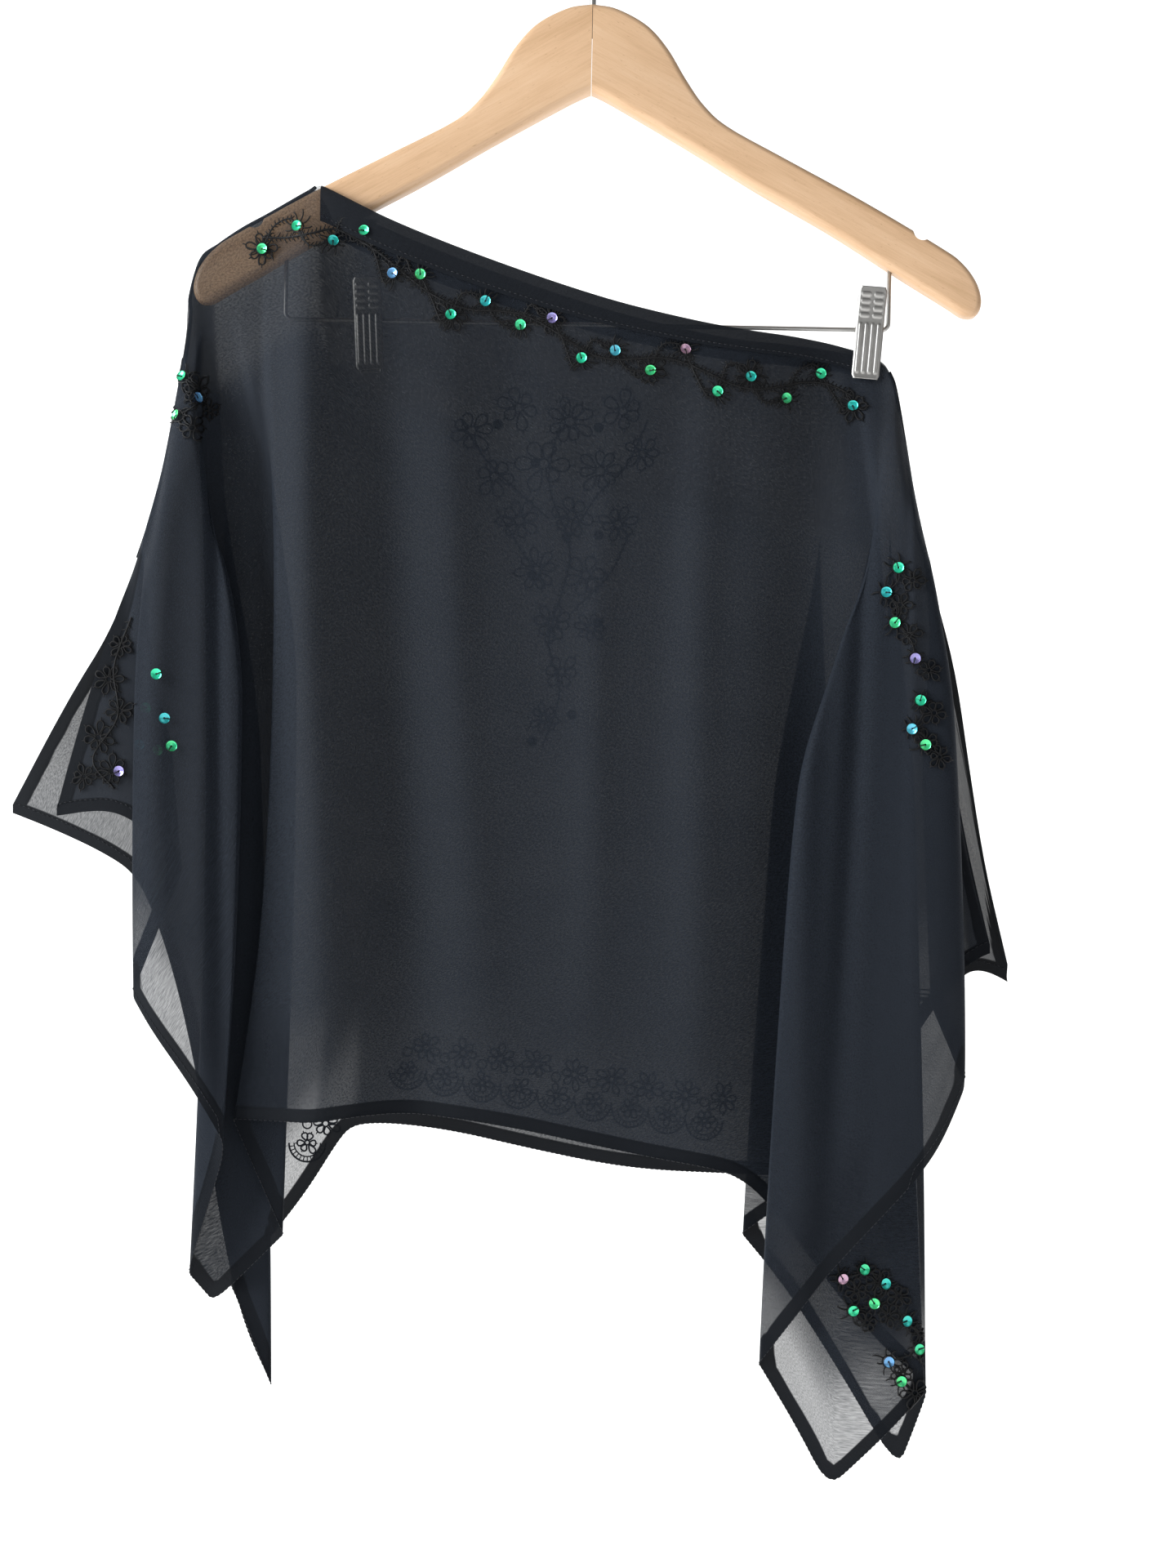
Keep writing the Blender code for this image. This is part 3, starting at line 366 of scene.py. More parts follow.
def unit(vectors):
    """Each vector at length one."""
    return vectors / np.maximum(np.linalg.norm(vectors, axis=-1, keepdims=True), 1e-9)


class Edge:
    """A panel's top edge, as a curve that is read by the distance along it."""

    def __init__(self, facing, *parts):
        points = sum(parts, ())
        self.facing, self.line = facing, smooth_curve(points)
        self.run = run_along(self.line)
        self.corners, self.depths = self.run[::EDGE_STEPS], [point.depth for point in points]
        marks = np.cumsum([len(part) for part in parts]) * EDGE_STEPS
        self.seam_left, self.neck, self.seam_right = (
            self.run[[start, end - EDGE_STEPS]] for start, end in zip(marks[:3], marks[1:]))
        self.slits = self.seam_left[0], self.seam_right[1]

    def on_seam(self, distance, ends):
        """1 along a seam and 0 away from it, eased at its ends."""
        into = smooth_step((distance - ends[0] + SEAM_EASE) / SEAM_EASE)
        return into * smooth_step((ends[1] + SEAM_EASE - distance) / SEAM_EASE)

    def depth(self, distance):
        return np.interp(distance, self.corners, self.depths)

    def at(self, distance):
        """X, Y, Z on the edge. Along the seams the two panels part by their walls and the gap."""
        x, z = (np.interp(distance, self.run, self.line[:, axis]) for axis in (0, 1))
        y = self.depth(distance)
        seam = np.maximum(self.on_seam(distance, self.seam_left), self.on_seam(distance, self.seam_right))
        return stacked(x, y + self.facing * SEAM_HALF * seam, z)

    def puff(self, distance):
        """How far the panel stands off its top edge a little below it."""
        left = PUFF_LEFT * self.on_seam(distance, self.seam_left)
        past = (distance > self.seam_left[1]) & (distance < self.seam_left[1] + 40)
        short = PUFF_LEFT + SEAM_HALF - np.abs(self.depth(distance))
        left = np.where(past, np.maximum(short, 0), left)
        right = PUFF_RIGHT * self.on_seam(distance, self.seam_right)
        return self.facing * np.maximum(left, right)

    def row_scale(self, distance):
        """Scale of the upper rows: the neck band narrows to the right, and slits need wide rows."""
        along = smooth_step((distance - self.neck[0]) / (self.neck[1] - self.neck[0]))
        outside = np.maximum(self.slits[0] - distance, distance - self.slits[1])
        return 1 - (1 - BAND_NARROW) * along + SLIT_ROWS * smooth_step(outside / 20)


def fall_threads(fall):
    """The threads of one row of a table: place on the edge, shift and depth of each."""
    if fall.side == PLAIN:
        return [(fall.edge, 0, fall.depth_in)]
    half = fall.spread / 2
    shift = CORNER_HALF if fall.side == CORNER else 0
    return [(fall.edge - half, -shift, fall.depth_in), (fall.edge + half, shift, fall.depth_out)]


def nose_length(fall):
    """How far along its legs a fold stays round."""
    return NOSE_ROUND * abs(fall.depth_out - fall.depth_in) / 2 if abs(fall.side) == 1 else 0


def drops(length, scale):
    """Fall of each row below the top edge: the band's rows, then even steps to the hem."""
    upper = np.array(BAND_ROWS) * min(scale, length / (2 * BAND_WIDTH))
    steps = np.arange(1, LOWER_ROWS + 1) / LOWER_ROWS
    return np.concatenate([upper, upper[-1] + (length - upper[-1]) * steps])


def thread_path(fall, edge, distance, shift, depth):
    """One thread from the top edge to the hem.

    It starts straight below its place on the edge and eases over to the fold's own course, which is
    a parabola through its top, middle and hem. Y first rounds off the seam, then eases to its depth.
    """
    start = edge.at(distance)
    length = max(start[2] - fall.z_hem, 1.0)
    fallen = drops(length, float(edge.row_scale(distance)))
    v = fallen / length
    course = (fall.x_top * (1 - v) * (1 - 2 * v) + 4 * fall.x_mid * v * (1 - v)
              + fall.x_hem * v * (2 * v - 1) + shift)
    reach = min(fall.reach, length)
    x = start[0] + (course - start[0]) * eased((fallen - PUFF_DROP - fall.hold) / reach)
    puff = edge.puff(distance)
    rounding = np.sqrt(1 - (1 - np.clip(fallen / PUFF_DROP, 0, 1)) ** 2)
    settle = eased((fallen - fall.hold) / min(max(DEPTH_REACH, DEPTH_LEAD * fall.reach), length))
    y = start[1] + puff * rounding + (depth - start[1] - puff) * settle
    return stacked(x, y, start[2] - fallen)


def across(controls, samples):
    """A quadratic spline across the threads: it passes midway between neighbours, and never overshoots."""
    controls = np.asarray(controls, float)
    middles = np.concatenate([controls[:1], (controls[1:] + controls[:-1]) / 2, controls[-1:]])
    points = [(1 - t) ** 2 * first + 2 * t * (1 - t) * turn + t * t * last
              for first, turn, last, count in zip(middles, controls, middles[1:], samples)
              for t in np.arange(count) / count]
    return np.array(points + [controls[-1]])


def leg_threads(first, second, first_nose, second_nose):
    """Threads in the leg between two falls that keep the folds round, never past its middle."""
    leg = second[0] - first[0]
    width = np.maximum(np.abs(leg[:, :1]), 0.01)
    threads = []
    for nose, from_second in ((first_nose, False), (second_nose, True)):
        if nose:
            share = np.minimum(nose / width, NOSE_SHARE)
            share = 1 - share if from_second else share
            place = first[1] + (second[1] - first[1]) * share[0, 0]
            threads.append((first[0] + leg * share, place, 1))
    return threads


def slant(first, second):
    """How far the ends of a leg move into their folds, row by row."""
    width = np.abs(second[0][:, 0] - first[0][:, 0])
    return SLANT * (1 - smooth_step(width / SHORT_LEG))


def relaxed(grid, firm):
    """The grid with small kinks across it taken out, but not near the top edge or low in a firm column."""
    share = RELAX * smooth_step((grid[:, :1, 2] - grid[:, :, 2] - PUFF_DROP) / RELAX_START)
    lower = smooth_step(2 * np.arange(grid.shape[1]) / grid.shape[1])
    share = (share * (1 - firm[:, None] * lower))[1:-1, :, None]
    for _ in range(RELAX_PASSES):
        before, here, after = grid[:-2], grid[1:-1], grid[2:]
        to_before, to_after = (lengths(leg)[..., None] for leg in (here - before, after - here))
        chord = (before * to_after + after * to_before) / (to_before + to_after)
        moved = grid.copy()
        moved[1:-1] += share * (chord - here)
        grid = moved
    return grid


def panel_grid(falls, edge):
    """The panel's middle surface as a grid of points, and each column's place along the top edge."""
    own = [[(thread_path(fall, edge, *thread), thread[0], 1 if fall.side == CORNER else 2)
            for thread in fall_threads(fall)] for fall in falls]
    slants = [slant(before[-1], after[0]) for before, after in zip(own, own[1:])]
    for k, fall in enumerate(falls):
        if abs(fall.side) == 1:
            (entry, *_), (leave, *_) = own[k]
            depth = leave[:, 1] - entry[:, 1]
            entry[:, 1] += slants[k - 1] * depth
            leave[:, 1] -= slants[k] * depth
    threads = list(own[0])
    for before, after, group in zip(falls, falls[1:], own[1:]):
        threads += leg_threads(threads[-1], group[0], nose_length(before), nose_length(after))
        threads += group
    samples = [thread[2] for thread in threads]
    distances = across([[thread[1]] for thread in threads], samples)[:, 0]
    grid = across([thread[0] for thread in threads], samples)
    slip = edge.at(distances) - grid[:, 0]
    fallen = grid[:, :1, 2] - grid[:, :, 2]
    fade_length = np.minimum(SLIP_FADE, 0.8 * fallen[:, -1:])
    fade = (1 - smooth_step(fallen / fade_length))[:, :, None]
    corners = [fall.edge for fall in falls if fall.side == CORNER]
    firm = np.abs(distances[:, None] - corners).min(axis=1) < CORNER_HALF
    return relaxed(grid + slip[:, None, :] * fade, firm), distances


def finer_across(net, steps):
    """A smooth sheet through a net: across its columns, the spline that passes midway between them."""
    return across(net, [1] + [steps] * (len(net) - 2) + [1])


def gaps_along(points, axis):
    """Distance run along one axis of a grid, from its first point."""
    run = lengths(np.diff(points, axis=axis))
    return np.concatenate([np.zeros_like(run.take([0], axis=axis)), np.cumsum(run, axis=axis)], axis=axis)


def grid_normals(grid):
    """Unit normals of a panel's grid, pointing to the garment's front."""
    along = np.gradient(grid, axis=0)
    down = np.gradient(grid, axis=1)
    return unit(np.cross(down, along))


def creased(grid, distances, creases):
    """The grid with soft ridges and troughs: a bell across each, a low hump along it."""
    share = np.linspace(0, 1, grid.shape[1])[None, :]
    moved = np.zeros(grid.shape[:2])
    for crease in creases:
        along = (share - crease.v_top) / (crease.v_end - crease.v_top)
        x = crease.x_top + (crease.x_end - crease.x_top) * along
        x = x + crease.sway * np.sin(5 * along + crease.x_top)
        width = crease.width * (0.55 + 0.45 * np.clip(along, 0, 1))
        bell = np.exp(-((grid[:, :, 0] - x) / width) ** 2)
        hump = np.sin(math.pi * np.clip(along, 0, 1)) ** 0.7
        layer = smooth_step((distances - crease.u_from) / 12) * smooth_step((crease.u_to - distances) / 12)
        moved += crease.height * bell * hump * layer[:, None]
    return grid + moved[:, :, None] * grid_normals(grid)


def rippled(grid, seed, height):
    """The grid with a faint uneven ripple: a few long crossed waves of unlike lengths."""
    chance = np.random.default_rng(seed)
    across_run, down_run = grid[:, :, 0], grid[:, :, 2]
    wave = np.zeros(grid.shape[:2])
    for _ in range(7):
        length = chance.uniform(35, 110)
        slope = chance.uniform(-0.28, 0.28)
        turn = (across_run + slope * down_run) * 2 * math.pi / length
        wave += np.sin(turn + chance.uniform(0, 6.3)) * length / 110
    fade = smooth_step(gaps_along(grid, 1) / 90)
    return grid + (height / 4 * wave * fade)[:, :, None] * grid_normals(grid)


def placed(name, data):
    """A new object in the scene."""
    item = bpy.data.objects.new(name, data)
    bpy.context.scene.collection.objects.link(item)
    return item


def mesh_object(name, verts, faces, finish):
    """A mesh piece from points in millimetres and faces."""
    mesh = bpy.data.meshes.new(name)
    faces = faces.tolist() if isinstance(faces, np.ndarray) else faces
    mesh.from_pydata((np.asarray(verts).reshape(-1, 3) * MM).tolist(), [], faces)
    mesh.shade_smooth()
    mesh.materials.append(finish)
    return placed(name, mesh)


def grid_faces(columns, rows_down):
    """Faces between neighbouring points of a grid."""
    index = np.arange(columns * rows_down).reshape(columns, rows_down)
    return stacked(index[:-1, :-1], index[:-1, 1:], index[1:, 1:], index[1:, :-1]).reshape(-1, 4)


def put_attribute(piece, name, values):
    """A value at each point, which a finish reads by its name."""
    layer = piece.data.attributes.new(name, "FLOAT", "POINT")
    layer.data.foreach_set("value", np.asarray(values, np.float32).ravel())


def put_uv(piece, u, v):
    """A UV map in metres of cloth."""
    corner = np.zeros(len(piece.data.loops), np.int32)
    piece.data.loops.foreach_get("vertex_index", corner)
    uv = stacked(np.ravel(u)[corner], np.ravel(v)[corner]) * MM
    piece.data.uv_layers.new(name="cloth").data.foreach_set("uv", uv.astype(np.float32).ravel())


class Sheet:
    """One panel as a fine sheet: its grid, each column's place on the top edge, and its hem distances."""

    def __init__(self, name, falls, edge, creases, shade_spans, ripple_seed):
        net, places = panel_grid(falls, edge)
        self.name, self.edge = name, edge
        self.distances = finer_across(places[:, None], FINE_STEPS)[:, 0]
        self.plain = grid = finer_across(net, FINE_STEPS)
        self.grid = rippled(creased(grid, self.distances, creases), ripple_seed, RIPPLE)
        self.down, self.aside = down, aside = gaps_along(grid, 1), gaps_along(grid, 0)
        self.above_hem = down[:, -1:] - down
        self.rim = np.minimum(aside, aside[-1:] - aside)
        free = (self.distances < edge.slits[0]) | (self.distances > edge.slits[1])
        columns = np.arange(len(grid))
        for shift in range(-RIM_COLUMNS, RIM_COLUMNS + 1):
            beside = np.clip(columns + shift, 0, columns[-1])
            to_hem, to_slit = lengths(grid - grid[beside, -1:]), lengths(grid - grid[beside, :1])
            to_slit = np.where(free[beside, None], to_slit, to_hem)
            self.rim = np.minimum(self.rim, np.minimum(to_hem, to_slit))
        # The opacity share below is painted shade: it rises away from the hem and in the spans where the
        # garment lies in shade
        self.dense = smooth_step((self.above_hem - SHEER_REACH) / (SHADE_REACH - SHEER_REACH))
        for span in shade_spans:
            inside = smooth_step((self.distances - span.start) / SPAN_EASE + 1)
            inside = inside * smooth_step((span.end - self.distances) / SPAN_EASE + 1)
            inside = inside[:, None] * (1 - smooth_step((down - span.depth) / SPAN_FADE + 0.5))
            self.dense += inside * (span.low + (span.high - span.low) * self.dense - self.dense)

    def make(self, finish):
        piece = mesh_object(self.name, self.grid, grid_faces(*self.grid.shape[:2]), finish)
        put_attribute(piece, "rim", self.rim)
        put_attribute(piece, "dense", self.dense)
        put_uv(piece, self.aside, self.down)
        return piece

    def band(self, finish):
        """The neck's turned band: the sheet's own upper points, moved out past the solid's wall."""
        inside = (self.distances > self.edge.neck[0] + 1) & (self.distances < self.edge.neck[1] - 1)
        from_end = np.minimum(self.distances - self.edge.neck[0], self.edge.neck[1] - self.distances)
        lift = BAND_LIFT + (WALL + GAP - BAND_LIFT) * smooth_step(from_end / BAND_EASE)
        lifted = self.plain - self.edge.facing * lift[:, None, None] * grid_normals(self.plain)
        points = lifted[inside][:, :len(BAND_ROWS)]
        name = self.name.replace("chiffon", "band")
        piece = mesh_object(name, points, grid_faces(*points.shape[:2]), finish)
        put_uv(piece, gaps_along(points, 0), gaps_along(points, 1))
        return piece, points

    def hem_line(self, rim):
        """Points along the hem, that far in from it, and the normals there."""
        rows = [np.searchsorted(-column, -rim) for column in self.above_hem]
        rows = np.clip(rows, 0, self.grid.shape[1] - 1)
        columns = np.arange(len(rows))
        return self.grid[columns, rows], grid_normals(self.grid)[columns, rows]


def ring_faces(index):
    """Faces between neighbouring rings, from an array of rings by points: each ring closes on itself."""
    after = np.roll(index, -1, axis=-1)
    corners = (index[..., :-1, :], after[..., :-1, :], after[..., 1:, :], index[..., 1:, :])
    return stacked(*corners).reshape(-1, 4)


def polar(x, z, radius, angle):
    """Points of the front view at radii and angles round a place."""
    return stacked(x + radius * np.cos(angle), z + radius * np.sin(angle))


def ring_points(turn, first, second):
    """Points round a unit ring in the plane of two directions."""
    return np.cos(turn)[:, None] * first[..., None, :] + np.sin(turn)[:, None] * second[..., None, :]


def tubes(paths, normals, radius, sides=5):
    """Closed-end tubes along many paths at once, with a ring round each point.

    paths and normals are arrays of path, point and axis; radius holds a value for each point of a path.
    """
    paths, normals = np.asarray(paths, float), np.asarray(normals, float)
    count, length = paths.shape[:2]
    tangent = unit(np.gradient(paths, axis=1))
    side = unit(np.cross(normals, tangent))
    up = np.cross(tangent, side)
    turn = np.arange(sides) * 2 * math.pi / sides
    size = np.broadcast_to(np.asarray(radius, float), (count, length))[:, :, None, None]
    ring = paths[:, :, None] + size * ring_points(turn, side, up)
    index = np.arange(count * length * sides).reshape(count, length, sides)
    caps = index[:, 0, ::-1].tolist() + index[:, -1].tolist()
    return ring.reshape(-1, 3), ring_faces(index).tolist() + caps


def cord(name, path, facing, radius, sides, finish):
    """A piece that is one tube along one path."""
    facing = np.broadcast_to(np.asarray(facing, float), path.shape)
    return mesh_object(name, *tubes(path[None], facing[None], radius, sides), finish)


def joined(batches):
    """Several batches of points and faces as one."""
    verts, faces, start = [], [], 0
    for points, polygons in batches:
        verts.append(points)
        faces += [[start + corner for corner in polygon] for polygon in polygons]
        start += len(points)
    return np.concatenate(verts), faces


def resampled(path, step):
    """A path with points an even step apart."""
    run = run_along(np.asarray(path, float))
    return read_at(np.linspace(0, run[-1], max(int(run[-1] / step), 2) + 1), run, path)


class Stitching:
    """Thread work drawn in the front view, in X and Z, and laid on the sheet that is seen there."""

    def __init__(self, tree, skip, lift, chance):
        self.tree, self.skip, self.lift, self.chance = tree, skip, lift, chance
        self.batches = []
        self.centres = []

    def seen(self, places):
        """The points of the sheet that lie behind places of the front view, and its normals there."""
        eye = Vector(EYE) * MM
        points, normals = [], []
        for x, z in np.asarray(places).reshape(-1, 2):
            ray = (Vector((x, 0, z)) * MM - eye).normalized()
            start, hit = eye, None
            for _ in range(self.skip + 1):
                found = self.tree.ray_cast(start, ray)
                if found[0] is None:
                    break
                hit = found
                start = found[0] + ray * SKIP_STEP * MM
            if hit is None:
                hit = self.tree.find_nearest(Vector((x, MISS_Y, z)) * MM)
            normal = hit[1] if hit[1].y < 0 else -hit[1]
            normals.append(normal * (-1 if self.lift < 0 else 1))
            points.append(hit[0] / MM + normal * self.lift)
        shape = np.asarray(places).shape[:-1] + (3,)
        return np.array(points).reshape(shape), np.array(normals).reshape(shape)

    def lay(self, paths, radius, sides=5):
        """Threads of the given radius along flat paths."""
        self.batches.append((np.asarray(paths, float), radius, sides))

    def vine(self, line, thorn=3.0, radius=0.66, spacing=2.3):
        """A couched cord with a short slanting thorn to each side in turn."""
        path = resampled(smooth_curve(line, 10), CORD_STEP)
        self.lay(path[None], radius)
        ahead = unit(np.gradient(path, axis=0))
        every = max(int(spacing / CORD_STEP), 1)
        roots, forward = path[2:-2:every], ahead[2:-2:every]
        aside = stacked(-forward[:, 1], forward[:, 0]) * np.where(np.arange(len(roots)) % 2, 1, -1)[:, None]
        reach = thorn * self.chance.uniform(0.7, 1.25, (len(roots), 1, 1))
        t = np.linspace(0, 1, 3)[None, :, None]
        lean = (aside * 0.86 + forward * 0.5)[:, None]
        self.lay(roots[:, None] + t * reach * lean, THORN_RADII, 4)
        return path

    def flower(self, x, z, size, spikes):
        """Spider-like stitches round a sequin's place, of uneven length, with a bent end."""
        turn = self.chance.uniform(0, 6.3) + np.arange(spikes) * 2 * math.pi / spikes
        turn += self.chance.uniform(-0.12, 0.12, spikes)
        reach = size * self.chance.uniform(0.78, 1.15, spikes)
        t = np.linspace(0, 1, 5)[None, :]
        radius = RING_START + (reach[:, None] - RING_START) * t
        angle = turn[:, None] + 0.22 * t ** 2 * self.chance.choice([-1, 1], spikes)[:, None]
        self.lay(polar(x, z, radius, angle), SPIKE_RADII, 4)
        self.ring(x, z, RING_SIZE, THREAD_RADIUS)
        self.centres.append((x, z))

    def ring(self, x, z, size, radius, begin=0.0, end=2 * math.pi):
        """A ring of thread, or an arc of one."""
        angle = np.linspace(begin, end, 17)
        self.lay(polar(x, z, size, angle)[None], radius, 4)

    def loop_flower(self, x, z, size, petals):
        """Open drop-shaped loops round a small ring: out from the middle and back, widest past halfway."""
        turn = self.chance.uniform(0, 6.3) + np.arange(petals) * 2 * math.pi / petals
        turn += self.chance.uniform(-0.15, 0.15, petals)
        reach = size * self.chance.uniform(0.75, 1.1, petals)[:, None]
        t = np.linspace(0.04, 0.96, 15)[None, :]
        out = (1 - np.cos(2 * math.pi * t)) / 2
        radial = reach * (0.2 + 0.8 * out)
        aside = size * 1.05 / petals * 2 * np.sin(2 * math.pi * t) * out ** 0.6
        cos, sin = np.cos(turn)[:, None], np.sin(turn)[:, None]
        self.lay(stacked(x + radial * cos - aside * sin, z + radial * sin + aside * cos), 0.5, 4)
        tip = reach * np.linspace(0.98, 1.22, 3)[None, :]
        self.lay(polar(x, z, tip, turn[:, None]), TIP_RADII, 4)
        self.ring(x, z, size * 0.2, THREAD_RADIUS)

    def scallop(self, x, z, size):
        """Two nested half rings with short stitches between them."""
        for radius, thread in ((size, 0.55), (size * 0.72, 0.4)):
            self.ring(x, z, radius, thread, math.radians(178), math.radians(362))
        angle = np.radians(np.linspace(190, 350, 13))[:, None]
        t = size * np.linspace(0.72, 1.0, 2)[None, :]
        self.lay(polar(x, z, t, angle), 0.3, 4)

    def make(self, name, finish):
        made = [tubes(*self.seen(paths), radius, sides) for paths, radius, sides in self.batches]
        return mesh_object(name, *joined(made), finish)


def leaning_frames(normals, chance):
    """For each sequin its own slightly tipped axis, and two directions across it."""
    tip = unit(normals + chance.normal(0, 0.12, normals.shape))
    first = unit(np.cross(tip, chance.normal(0, 1, normals.shape)))
    return tip, first, np.cross(tip, first)


def sequins(name, places, frames, shades, finish):
    """Cupped discs with a hole, their colours in the attribute shade."""
    angle = np.arange(SEQUIN_SIDES) * 2 * math.pi / SEQUIN_SIDES
    tip, first, second = (axis[:, None] for axis in frames)
    radius, height = (column[:, None, None] for column in np.transpose(SEQUIN_RINGS))
    verts = places[:, None, None] + tip[:, None] * height + radius * ring_points(angle, first, second)
    index = np.arange(verts[..., 0].size).reshape(verts.shape[:3])
    piece = mesh_object(name, verts, ring_faces(index), finish)
    put_attribute(piece, "shade", np.repeat(shades, index[0].size))
    return piece


def sequin_ties(places, frames):
    """The thread that holds each disc: over it from the hole to the rim."""
    tip, first, _ = (axis[:, None] for axis in frames)
    reach = np.array([-0.2, 1.2, 2.6, 3.2])[None, :, None]
    height = np.array([0.7, 1.5, 1.65, 0.8])[None, :, None]
    paths = places[:, None] + tip * height + first * reach
    return tubes(paths, np.broadcast_to(tip, paths.shape), 0.3, 5)


def stitch_run(path, normals, length=2.0, space=1.1, radius=0.22, lift=0.25):
    """Running stitches along a line: short tubes with bare cloth between them."""
    run = run_along(path)
    starts = np.arange(1.0, run[-1] - length, length + space)
    places = starts[:, None] + np.linspace(0, length, 3)
    facing = read_at(places, run, normals)
    spot = read_at(places, run, path) + facing * np.array([-0.05, lift, -0.05])[:, None]
    return tubes(spot, facing, radius, 4)


def math_method(operation, swapped=False):
    """A method of Number that makes one Math node."""
    def method(self, other=0.0):
        pair = (other, self) if swapped else (self, other)
        return self.finish.node("ShaderNodeMath", {"operation": operation}, dict(enumerate(pair)))
    return method


class Number:
    """A node's output that adds and multiplies like a number."""
    __add__ = __radd__ = math_method("ADD")
    __sub__, __rsub__ = math_method("SUBTRACT"), math_method("SUBTRACT", True)
    __mul__ = __rmul__ = math_method("MULTIPLY")
    __truediv__ = math_method("DIVIDE")
    at_least, at_most = math_method("MAXIMUM"), math_method("MINIMUM")

    def __init__(self, finish, socket):
        self.finish, self.socket = finish, socket

    def within(self, high=1.0):
        return self.at_least(0.0).at_most(high)


class Finish:
    """A Principled material whose varying inputs are worked out by nodes."""

    def __init__(self, name, roughness, constants):
        self.material = bpy.data.materials.new(name)
        self.material.use_nodes = True
        self.tree = self.material.node_tree
        self.shader = self.tree.nodes["Principled BSDF"]
        self.shader.inputs["Roughness"].default_value = roughness
        for socket, value in constants.items():
            self.shader.inputs[socket].default_value = value

    def node(self, kind, settings=None, inputs=None, output=0):
        made = self.tree.nodes.new(kind)
        for key, value in (settings or {}).items():
            if key == "stops":
                ramp = made.color_ramp
                for place, colour in value[2:]:
                    ramp.elements.new(place)
                for element, (place, colour) in zip(ramp.elements, sorted(value)):
                    element.position, element.color = place, colour
            else:
                setattr(made, key, value)
        for key, value in (inputs or {}).items():
            self.feed(made.inputs[key], value)
        return Number(self, made.outputs[output])

    def feed(self, socket, value):
        if isinstance(value, Number):
            self.tree.links.new(value.socket, socket)
        else:
            socket.default_value = value

    def set(self, name, value):
        self.feed(self.shader.inputs[name], value)

    def turned(self, vector, turn=(0, 0, 0), scale=(1, 1, 1)):
        """A vector, scaled and turned."""
        return self.node("ShaderNodeMapping", None, {"Vector": vector, "Rotation": turn, "Scale": scale})

    def place(self, turn=(0, 0, 0), scale=(1, 1, 1)):
        """Object coordinates in metres, scaled and turned."""
        return self.turned(self.node("ShaderNodeTexCoord", output=3), turn, scale)

    def attribute(self, name):
        return self.node("ShaderNodeAttribute", {"attribute_name": name}, output=2)

    def noise(self, vector, scale, detail=2.0, rough=0.5):
        return self.node("ShaderNodeTexNoise", None, {"Vector": vector, "Scale": scale, "Detail": detail,
                                                      "Roughness": rough})

    def threads(self, vector, scale, direction, distortion=0.0):
        """Parallel threads: waves across one direction of the vector."""
        return self.node("ShaderNodeTexWave", {"bands_direction": direction},
                         {"Vector": vector, "Scale": scale, "Distortion": distortion, "Detail": 1.0})

    def weave(self, distortion, crepe_scale):
        """Warp, weft and the crepe yarn's crinkle, on the sheet's own UV map in metres of cloth."""
        place = self.node("ShaderNodeUVMap", {"uv_map": "cloth"})
        warp, weft = (self.threads(place, WEAVE, direction, distortion) for direction in "XY")
        return place, warp, weft, self.noise(place, crepe_scale, 3, 0.6)

    def mix(self, share, first, second):
        """Colour from first to second."""
        return self.node("ShaderNodeMix", {"data_type": "RGBA"}, {0: share, 6: first, 7: second}, output=2)

    def bump(self, height, distance, strength):
        self.set("Normal", self.node("ShaderNodeBump", None,
                                     {"Height": height, "Distance": distance, "Strength": strength}))


CLOTH_GLOSS = {"Sheen Weight": 0.04, "Sheen Roughness": 0.5, "Specular IOR Level": 0.07}


def chiffon_finish(name):
    """Sheer crepe chiffon: crossed threads with light between them, opaque in the hems, and more opaque
    higher up and in the listed spans as painted shade.
    """
    cloth = Finish(name, 0.62, {**CLOTH_GLOSS, "Sheen Tint": (0.62, 0.72, 0.9, 1)})
    place, warp, weft, crepe = cloth.weave(0.0, 780)
    cloudy = cloth.noise(place, 26, 2)
    rim = cloth.attribute("rim")
    hem = ((HEM + 0.35 - rim) / 0.7).within()
    # Painted shade: the share read here makes the cloth more opaque where the garment lies in shade
    high = cloth.attribute("dense")
    body = SHEER_ALPHA + (SHADE_ALPHA - SHEER_ALPHA) * high
    grain = (crepe - 0.5) * GRAIN + (warp + weft - 1) * 0.05 + (cloudy - 0.5) * 0.08
    body = (body + grain * (1.25 - high * 0.75)).within()
    cloth.set("Alpha", (body + hem * MOST_ALPHA - body * hem).within(MOST_ALPHA))
    share = (crepe * 0.8 + warp * 0.2).within()
    yarn = cloth.mix(share, (0.009, 0.0112, 0.0155, 1), (0.023, 0.0285, 0.039, 1))
    cloth.set("Base Color", cloth.mix(hem * 0.8, yarn, (0.005, 0.006, 0.008, 1)))
    roll = ((HEM - rim) / 1.6).within()
    cloth.bump(crepe * 0.35 + warp * 0.3 + weft * 0.3 + roll * 1.4, 0.0004, 0.6)
    return cloth.material


def band_finish():
    """Doubled chiffon, pressed flat."""
    cloth = Finish("turned_band_cloth", 0.7, CLOTH_GLOSS)
    _, warp, weft, crepe = cloth.weave(1.0, 900)
    cloth.set("Base Color", cloth.mix(crepe, (0.004, 0.005, 0.007, 1), (0.015, 0.018, 0.024, 1)))
    cloth.set("Alpha", 0.95 + crepe * 0.05)
    cloth.bump(warp * 0.4 + weft * 0.4 + crepe * 0.5, 0.0004, 0.6)
    return cloth.material


def thread_finish(name, colour, roughness):
    """Twisted thread: fine slanting plies and a soft gloss, with a painted highlight: the ply crests are
    coloured paler.
    """
    thread = Finish(name, roughness, {"Specular IOR Level": 0.3})
    place = thread.place((0.6, 0.5, 0.7))
    ply = thread.threads(place, 900, "DIAGONAL", 2.0)
    lint = thread.noise(place, 1600, 2)
    # Painted highlight: the paler colour on the ply crests stands in for glints; the lint adds real fuzz
    pale = tuple(min(1, part * 2.2) for part in colour[:3]) + (1,)
    thread.set("Base Color", thread.mix((ply * 0.7 + lint * 0.3).within(), colour, pale))
    thread.bump(ply, 0.0002, 0.7)
    return thread.material


